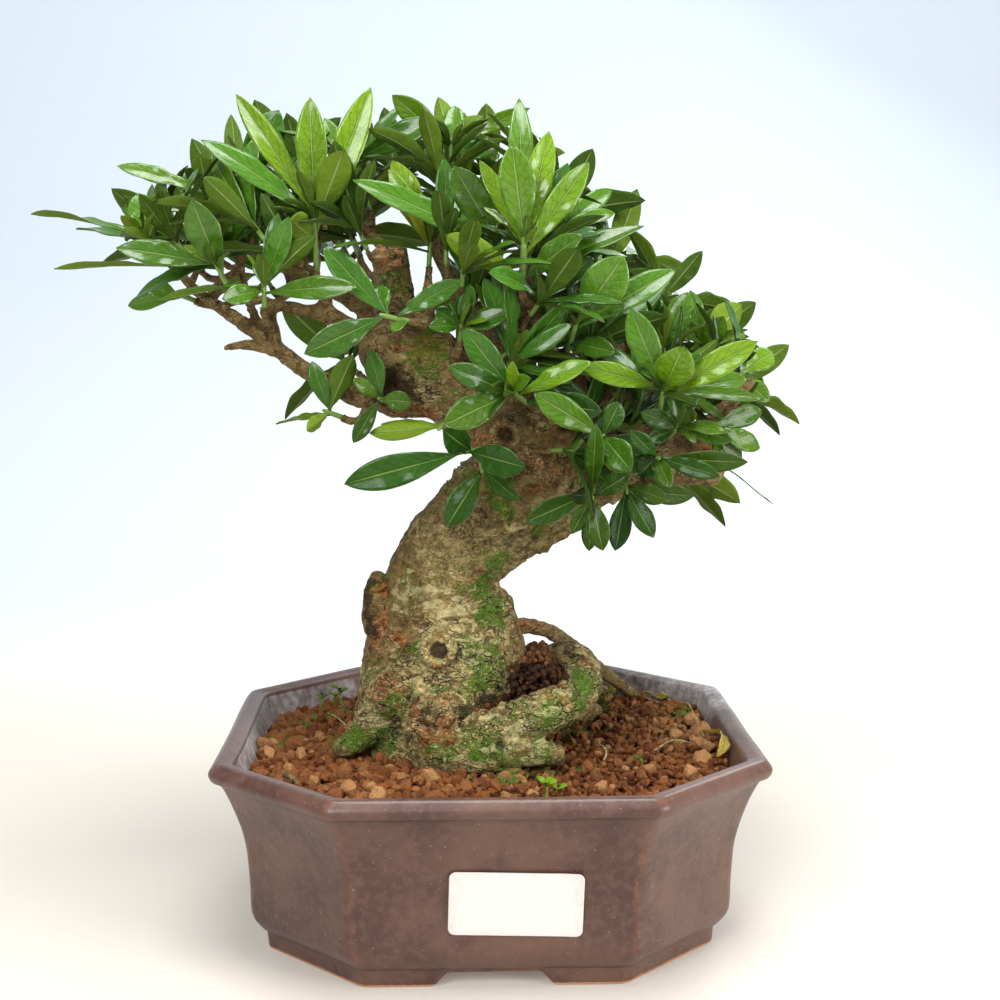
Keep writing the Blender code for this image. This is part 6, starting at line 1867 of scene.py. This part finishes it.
def clay_tone(place, rng, tan=None):
    """Colours of one granule: tan or rust, and mossy near the roots' feet and at the right corner."""
    damp = max(math.exp(-((place - spot).length / reach) ** 2) * share for spot, reach, share in DAMP_SPOTS)
    right = math.exp(-((place - PALE_CORNER).length / PALE_REACH) ** 2)
    if tan is None:
        tan = min(1.0, max(0.0, rng.gauss(0.06, 0.09) + (rng.random() < 0.07) * rng.uniform(0.3, 0.8)
                           + right * rng.uniform(0.1, 1.0)))
    moss = min(1.0, damp * rng.uniform(0.5, 1.3) + right * 0.4 * (rng.random() < 0.4))
    return tan, rng.random(), moss, 0.35 * damp * rng.random()


def outside_wood(wood, place):
    """How far a place lies outside the wood, or less than 0 inside it."""
    hit, normal, _, away = wood.find_nearest(place)
    return -away if (place - hit).dot(normal) < 0 else away


def pocket_lumps(wood):
    """Crumbs packed between the trunk and the looped root, darkened as painted shade; all lie against the
    wood.
    """
    rng = random.Random(f"{SEED} pocket")
    lumps = []
    low, high = seen(*POCKET_LOW), seen(*POCKET_HIGH)
    steps = [range(int((high[k] - low[k]) / POCKET_PITCH) + 1) for k in range(3)]
    for cell in ((i, j, k) for i in steps[0] for j in steps[1] for k in steps[2]):
        place = low + (Vector(cell) + Vector([stray(rng, 0.4) for _ in range(3)])) * POCKET_PITCH
        across, down = reading(place)
        if in_outline(across, down, POCKET):
            size = rng.uniform(0.7, 1.5) * MM
            if size * 0.4 < outside_wood(wood, place) < 7 * MM:
                shaded = across > POCKET_SHADE[0] or down > POCKET_SHADE[1]
                # Painted shade: every crumb in the hollow is darkened, those past the shade line the most
                tone = (rng.uniform(0.0, 0.1 if shaded else 0.45), rng.uniform(0.0, 0.3 if shaded else 0.6),
                        0.3 * rng.random(), rng.uniform(0.6, 0.95) if shaded else rng.uniform(0.15, 0.5))
                lumps.append((place, size, tone, False))
    return lumps


def make_granules(wood, finish):
    """Loose granules in a jittered layer on the soil, clear of the wood, with large tan lumps among them."""
    rng = random.Random(f"{SEED} granules")
    small, large = lump_forms(1, 24, "small", 9, 0.60, 0.24), lump_forms(3, 10, "large", 12, 0.50, 0.42)
    half = (POT_INSIDE[2][0] - 0.6) * MM
    spots = [(on_soil(across, down, size * 0.25), size * MM, rng.uniform(0.55, 1.0), True)
             for across, down, size in BIG_LUMPS]
    taken = [(place, size) for place, size, _, _ in spots]
    rows = range(int(2 * half / (GRAIN_PITCH * ROW_SHARE)) + 2)
    for share, sink in ((1.0, 0.9), (0.42, -0.7)):
        for i, k in ((i, k) for i in rows for k in rows):
            x = -half + (k + 0.5 * (i % 2)) * GRAIN_PITCH + stray(rng, 0.35) * GRAIN_PITCH
            y = -half + i * GRAIN_PITCH * ROW_SHARE + stray(rng, 0.35) * GRAIN_PITCH
            coarser = 0.86 + 0.42 * soften(20 * MM, -30 * MM, x)
            size = min(3.1, max(1.15, rng.lognormvariate(0.55, 0.24))) * coarser * MM
            if rng.random() > share or past_wall(x, y, half, size * 0.8):
                continue
            place = Vector((x, y, soil_top(x, y) - sink * MM + stray(rng, 0.5) * MM))
            if any((place - other).length < gap * 0.8 for other, gap in taken):
                continue
            if outside_wood(wood, place) >= size * 0.7:
                spots.append((place, size, None, False))
    spots += pocket_lumps(wood)
    for across, down, size, tan in CREVICE_LUMPS:
        ray = sight(across, down)
        place = wood.ray_cast(EYE, ray)[0]
        if place is not None:
            spots.append((place - ray * size * 0.3 * MM, size * MM, (tan, 0.6, 0.0, 0.1), False))
    batch = Batch()
    for place, size, tan, big in spots:
        form, faces = rng.choice(large if big else small)
        turn = np.array(Matrix.Rotation(rng.uniform(0, math.tau), 3, gauss_vector(rng).normalized()))
        stretch = np.array([rng.uniform(0.85, 1.3), rng.uniform(0.8, 1.1), rng.uniform(0.7, 1.0)])
        points = (form * stretch) @ turn.T * size + np.array(tuple(place))
        tone = tan if isinstance(tan, tuple) else clay_tone(place, rng, tan)
        batch.add(points.tolist(), faces, clay=tone)
    made = batch.make("granules", finish, "clay_granules")
    made.data.set_sharp_from_angle(angle=math.radians(44))


def add_tuft(batch, place, normal, rng, height, youth):
    """One moss tuft: a few slim leaning spikes."""
    for _ in range(4):
        lean = (normal + Vector((stray(rng, 1), stray(rng, 1), rng.uniform(-0.2, 0.6)))).normalized()
        side = lean.orthogonal().normalized()
        other = lean.cross(side)
        girth = rng.uniform(0.12, 0.22) * MM
        tall = height * rng.uniform(0.6, 1.2)
        foot = place + side * stray(rng, 0.5) * MM + other * stray(rng, 0.5) * MM
        points = [foot + side * girth, foot - side * girth * 0.5 + other * girth,
                  foot - side * girth * 0.5 - other * girth, foot + lean * tall]
        tone = (youth * rng.uniform(0.3, 1.0), rng.random(), 0.0, 0.2 * (rng.random() < 0.1))
        batch.add(points, [(0, 1, 3), (1, 2, 3), (2, 0, 3), (2, 1, 0)], tone=tone)


def make_moss(wood, finish):
    """Moss tufts on the soil and on the feet of the roots."""
    rng = random.Random(f"{SEED} moss")
    batch = Batch()
    beds = [(on_soil(across, down), reach, tufts, youth) for across, down, reach, tufts, youth in MOSS_BEDS]
    for _ in range(9):
        angle, far = rng.uniform(0, math.tau), rng.uniform(24, 62) * MM
        x, y = far * math.cos(angle) - 15 * MM, abs(far * math.sin(angle))
        beds.append((Vector((x, y, soil_top(x, y))), rng.uniform(5, 10), rng.randrange(40, 110), 0.3))
    for centre, reach, tufts, youth in beds:
        for _ in range(tufts):
            x = centre.x + rng.gauss(0, 0.5) * reach * MM
            y = centre.y + rng.gauss(0, 0.5) * reach * MM
            if past_wall(x, y, MOSS_EDGE):
                continue
            place, normal = Vector((x, y, soil_top(x, y) + 0.9 * MM)), UP
            hit, facing, _, _ = wood.ray_cast(Vector((x, y, 80 * MM)), -UP)
            if hit is not None and hit.z > place.z:
                if hit.z > place.z + 9 * MM:
                    continue
                place, normal = hit, facing
            add_tuft(batch, place, normal, rng, rng.uniform(0.9, 1.9) * MM, youth)
    batch.make("moss", finish, "clay_granules", flat=True)


def make_seedlings(finish):
    """Small green weeds and seedlings in the soil."""
    batch = Batch()
    for number, (across, down, tall, size, leaves, youth) in enumerate(SEEDLINGS):
        rng = random.Random(f"{SEED} seedling {number}")
        foot = on_soil(across, down)
        lean = Vector((rng.uniform(-0.4, 0.4), rng.uniform(-0.5, 0.1), 1)).normalized()
        top = foot + lean * tall * MM
        middle = (foot + top) / 2 + Vector((stray(rng, 1), 0, 0)) * MM
        stem = smooth_points([foot - lean * MM, middle, top], [0.38, 0.32, 0.25], 4)
        batch.tube(*stem, 6, tone=(youth * 0.8, 0.5, 0.0, 0.0))
        for k in range(leaves):
            heading = k * 2.4 + stray(rng, 0.3)
            out = Vector((math.cos(heading), math.sin(heading), rng.uniform(0.2, 0.9))).normalized()
            base = top - lean * MM * rng.uniform(0, 0.25 * tall)
            leaf = Leaf(base, base + out * size * MM, Vector((0, -0.5, 1)), size * 0.52 * MM, 0.0, 0.15)
            Blade(leaf, rng, youth, grid=TINY_GRID).add_to(batch)
    batch.make("seedlings", finish, "leaf")


def make_litter(leaf_finished, bark):
    """Pale rootlets, a fallen twig and a thin bare stalk, and dry leaves."""
    rng = random.Random(f"{SEED} litter")
    batch = Batch()
    strands = [([on_soil(across, down, lift + 0.9) for across, down, lift in rows], [0.30] * len(rows), 7,
                (0.0, 0.1, 0.9, 0.0), 6, 0.15) for rows in THREADS]
    twig, stalk = [on_soil(*row) for row in FALLEN_TWIG], [seen(*row) for row in BARE_STALK]
    strands.append((twig, [1.0, 1.1, 0.9], 5, (0.0, 0.3, 0.1, 0.1), 8, 0.3))
    strands.append((stalk, [0.32, 0.26, 0.2, 0.14], 7, (1.0, 0.0, 0.3, 0.0), 6, 0.15))
    for places, radii, steps, growth, sides, rough in strands:
        seed = rng.uniform(0, 40)
        batch.tube(*smooth_points(places, radii, steps), sides, rough, seed, growth=growth,
                   build=(1.0, 0.7, rng.random(), 1.0))
    batch.make("rootlets", bark, "bark")
    batch = Batch()
    for base, tip, width, age, curl, face, arch in FALLEN_LEAVES:
        leaf = Leaf(on_soil(*base, 1.8), on_soil(*tip, 2.6), Vector(face), width * MM, curl, arch)
        Blade(leaf, rng, 0.1, age, 0.10, SMALL_GRID).add_to(batch)
    batch.make("fallen_leaves", leaf_finished, "leaf")


# Floor in metres: half width, depths where it starts and bends, radius of the bend, height of the backdrop
# and drop under the pot
FLOOR_HALF = 2.6
FLOOR_FRONT = -1.6
FLOOR_BEND_AT = 0.55
FLOOR_BEND = 0.6
FLOOR_TALL = 2.2
FLOOR_DROP = 0.0002
# Lamps: place from the pot's middle and side in metres, power
LAMPS = {"key": ((-0.45, -0.95, 0.7), 0.55, 11.5), "fill": ((0.95, -0.6, 0.35), 0.6, 12.5),
         "top": ((0.05, -0.15, 1.1), 0.55, 13.0), "rear": ((0.5, 0.8, 0.8), 0.5, 4.0)}
SENSOR = 36
IMAGE_WIDTH = 1000


def make_stage():
    """Pale floor that sweeps up behind, soft lights and the camera."""
    rows = [(FLOOR_FRONT, 0.0), (FLOOR_BEND_AT, 0.0)]
    for step in range(1, 13):
        angle = step / 12 * math.pi / 2
        depth = FLOOR_BEND_AT + FLOOR_BEND * math.sin(angle)
        rows.append((depth, FLOOR_BEND - FLOOR_BEND * math.cos(angle)))
    rows.append((FLOOR_BEND_AT + FLOOR_BEND, FLOOR_TALL))
    mesh = bpy.data.meshes.new("floor")
    mesh.from_pydata([(x, y, z - FLOOR_DROP) for y, z in rows for x in (-FLOOR_HALF, FLOOR_HALF)], [],
                     [(2 * k, 2 * k + 1, 2 * k + 3, 2 * k + 2) for k in range(len(rows) - 1)])
    mesh.shade_smooth()
    mesh.materials.append(floor_finish())
    floor = put("floor", mesh)
    world = bpy.data.worlds.new("studio")
    bpy.context.scene.world = world
    world.use_nodes = True
    back = world.node_tree.nodes["Background"]
    back.inputs["Color"].default_value = (0.98, 0.98, 1.0, 1)
    back.inputs["Strength"].default_value = 0.32
    aim = POT_PLACE + UP * 0.14
    for name, (place, size, power) in LAMPS.items():
        lamp = bpy.data.lights.new(name, "AREA")
        lamp.shape = "SQUARE"
        lamp.size = size
        lamp.energy = power
        held = put(name, lamp)
        held.location = POT_PLACE + Vector(place)
        held.rotation_euler = (aim - held.location).to_track_quat("-Z", "Y").to_euler()
    bpy.context.scene.view_settings.view_transform = "Standard"
    lens = bpy.data.cameras.new("camera")
    lens.sensor_width = SENSOR
    lens.lens = SENSOR * VIEW_FOCAL / IMAGE_WIDTH
    lens.clip_start = 0.01
    camera = put("camera", lens)
    camera.location = POT_PLACE + EYE
    camera.rotation_euler = Matrix((RIGHT, UPWARD, -FORWARD)).transposed().to_euler()
    bpy.context.scene.camera = camera


def main():
    sprays = FRONT_SPRAYS + back_sprays()
    branches = branch_routes(sprays)
    thick = {name: smooth_route(rows, FINE_STEPS) for name, rows in THICK_WOOD.items()}
    carriers = list(branches.values()) + [thick[name] for name in LIMBS]
    guards = [tube_guard(route, radii, BARK_ROOM, THICK_SIDES) for route, radii in thick.values()]
    guards += [tube_guard(route, radii, BRANCH_ROOM) for route, radii in branches.values()]
    crown = Crown(sprays, guards)
    twigs = {}
    for spray in sprays:
        route, radii = twig_route(spray, carriers, crown.shoots)
        twigs["twig_" + spray.name] = (route, radii)
        crown.wood.append(tube_guard(route[:-1], radii, LEAF_CLEARANCE))
    crown.grow()
    bark, leaf, clay, plastic = bark_finish(), leaf_finish(), granule_finish(), plastic_finish()
    wood = make_tree(branches, bark)
    make_wiry_root(bark)
    make_sprays(crown, leaf)
    grown, inner_twigs = inner_shoots(crown, carriers + list(twigs.values()))
    make_inner_leaves(grown, leaf)
    make_twigs({**twigs, **inner_twigs}, bark)
    make_pot(glaze_finish())
    make_soil_bed(clay)
    make_granules(wood, clay)
    make_moss(wood, moss_finish())
    make_seedlings(leaf)
    make_litter(leaf, bark)
    make_label(paper_finish())
    make_screen("left_screen", -1, "drain_screen_left", plastic)
    make_screen("right_screen", 1, "drain_screen_right", plastic)
    make_stage()


main()
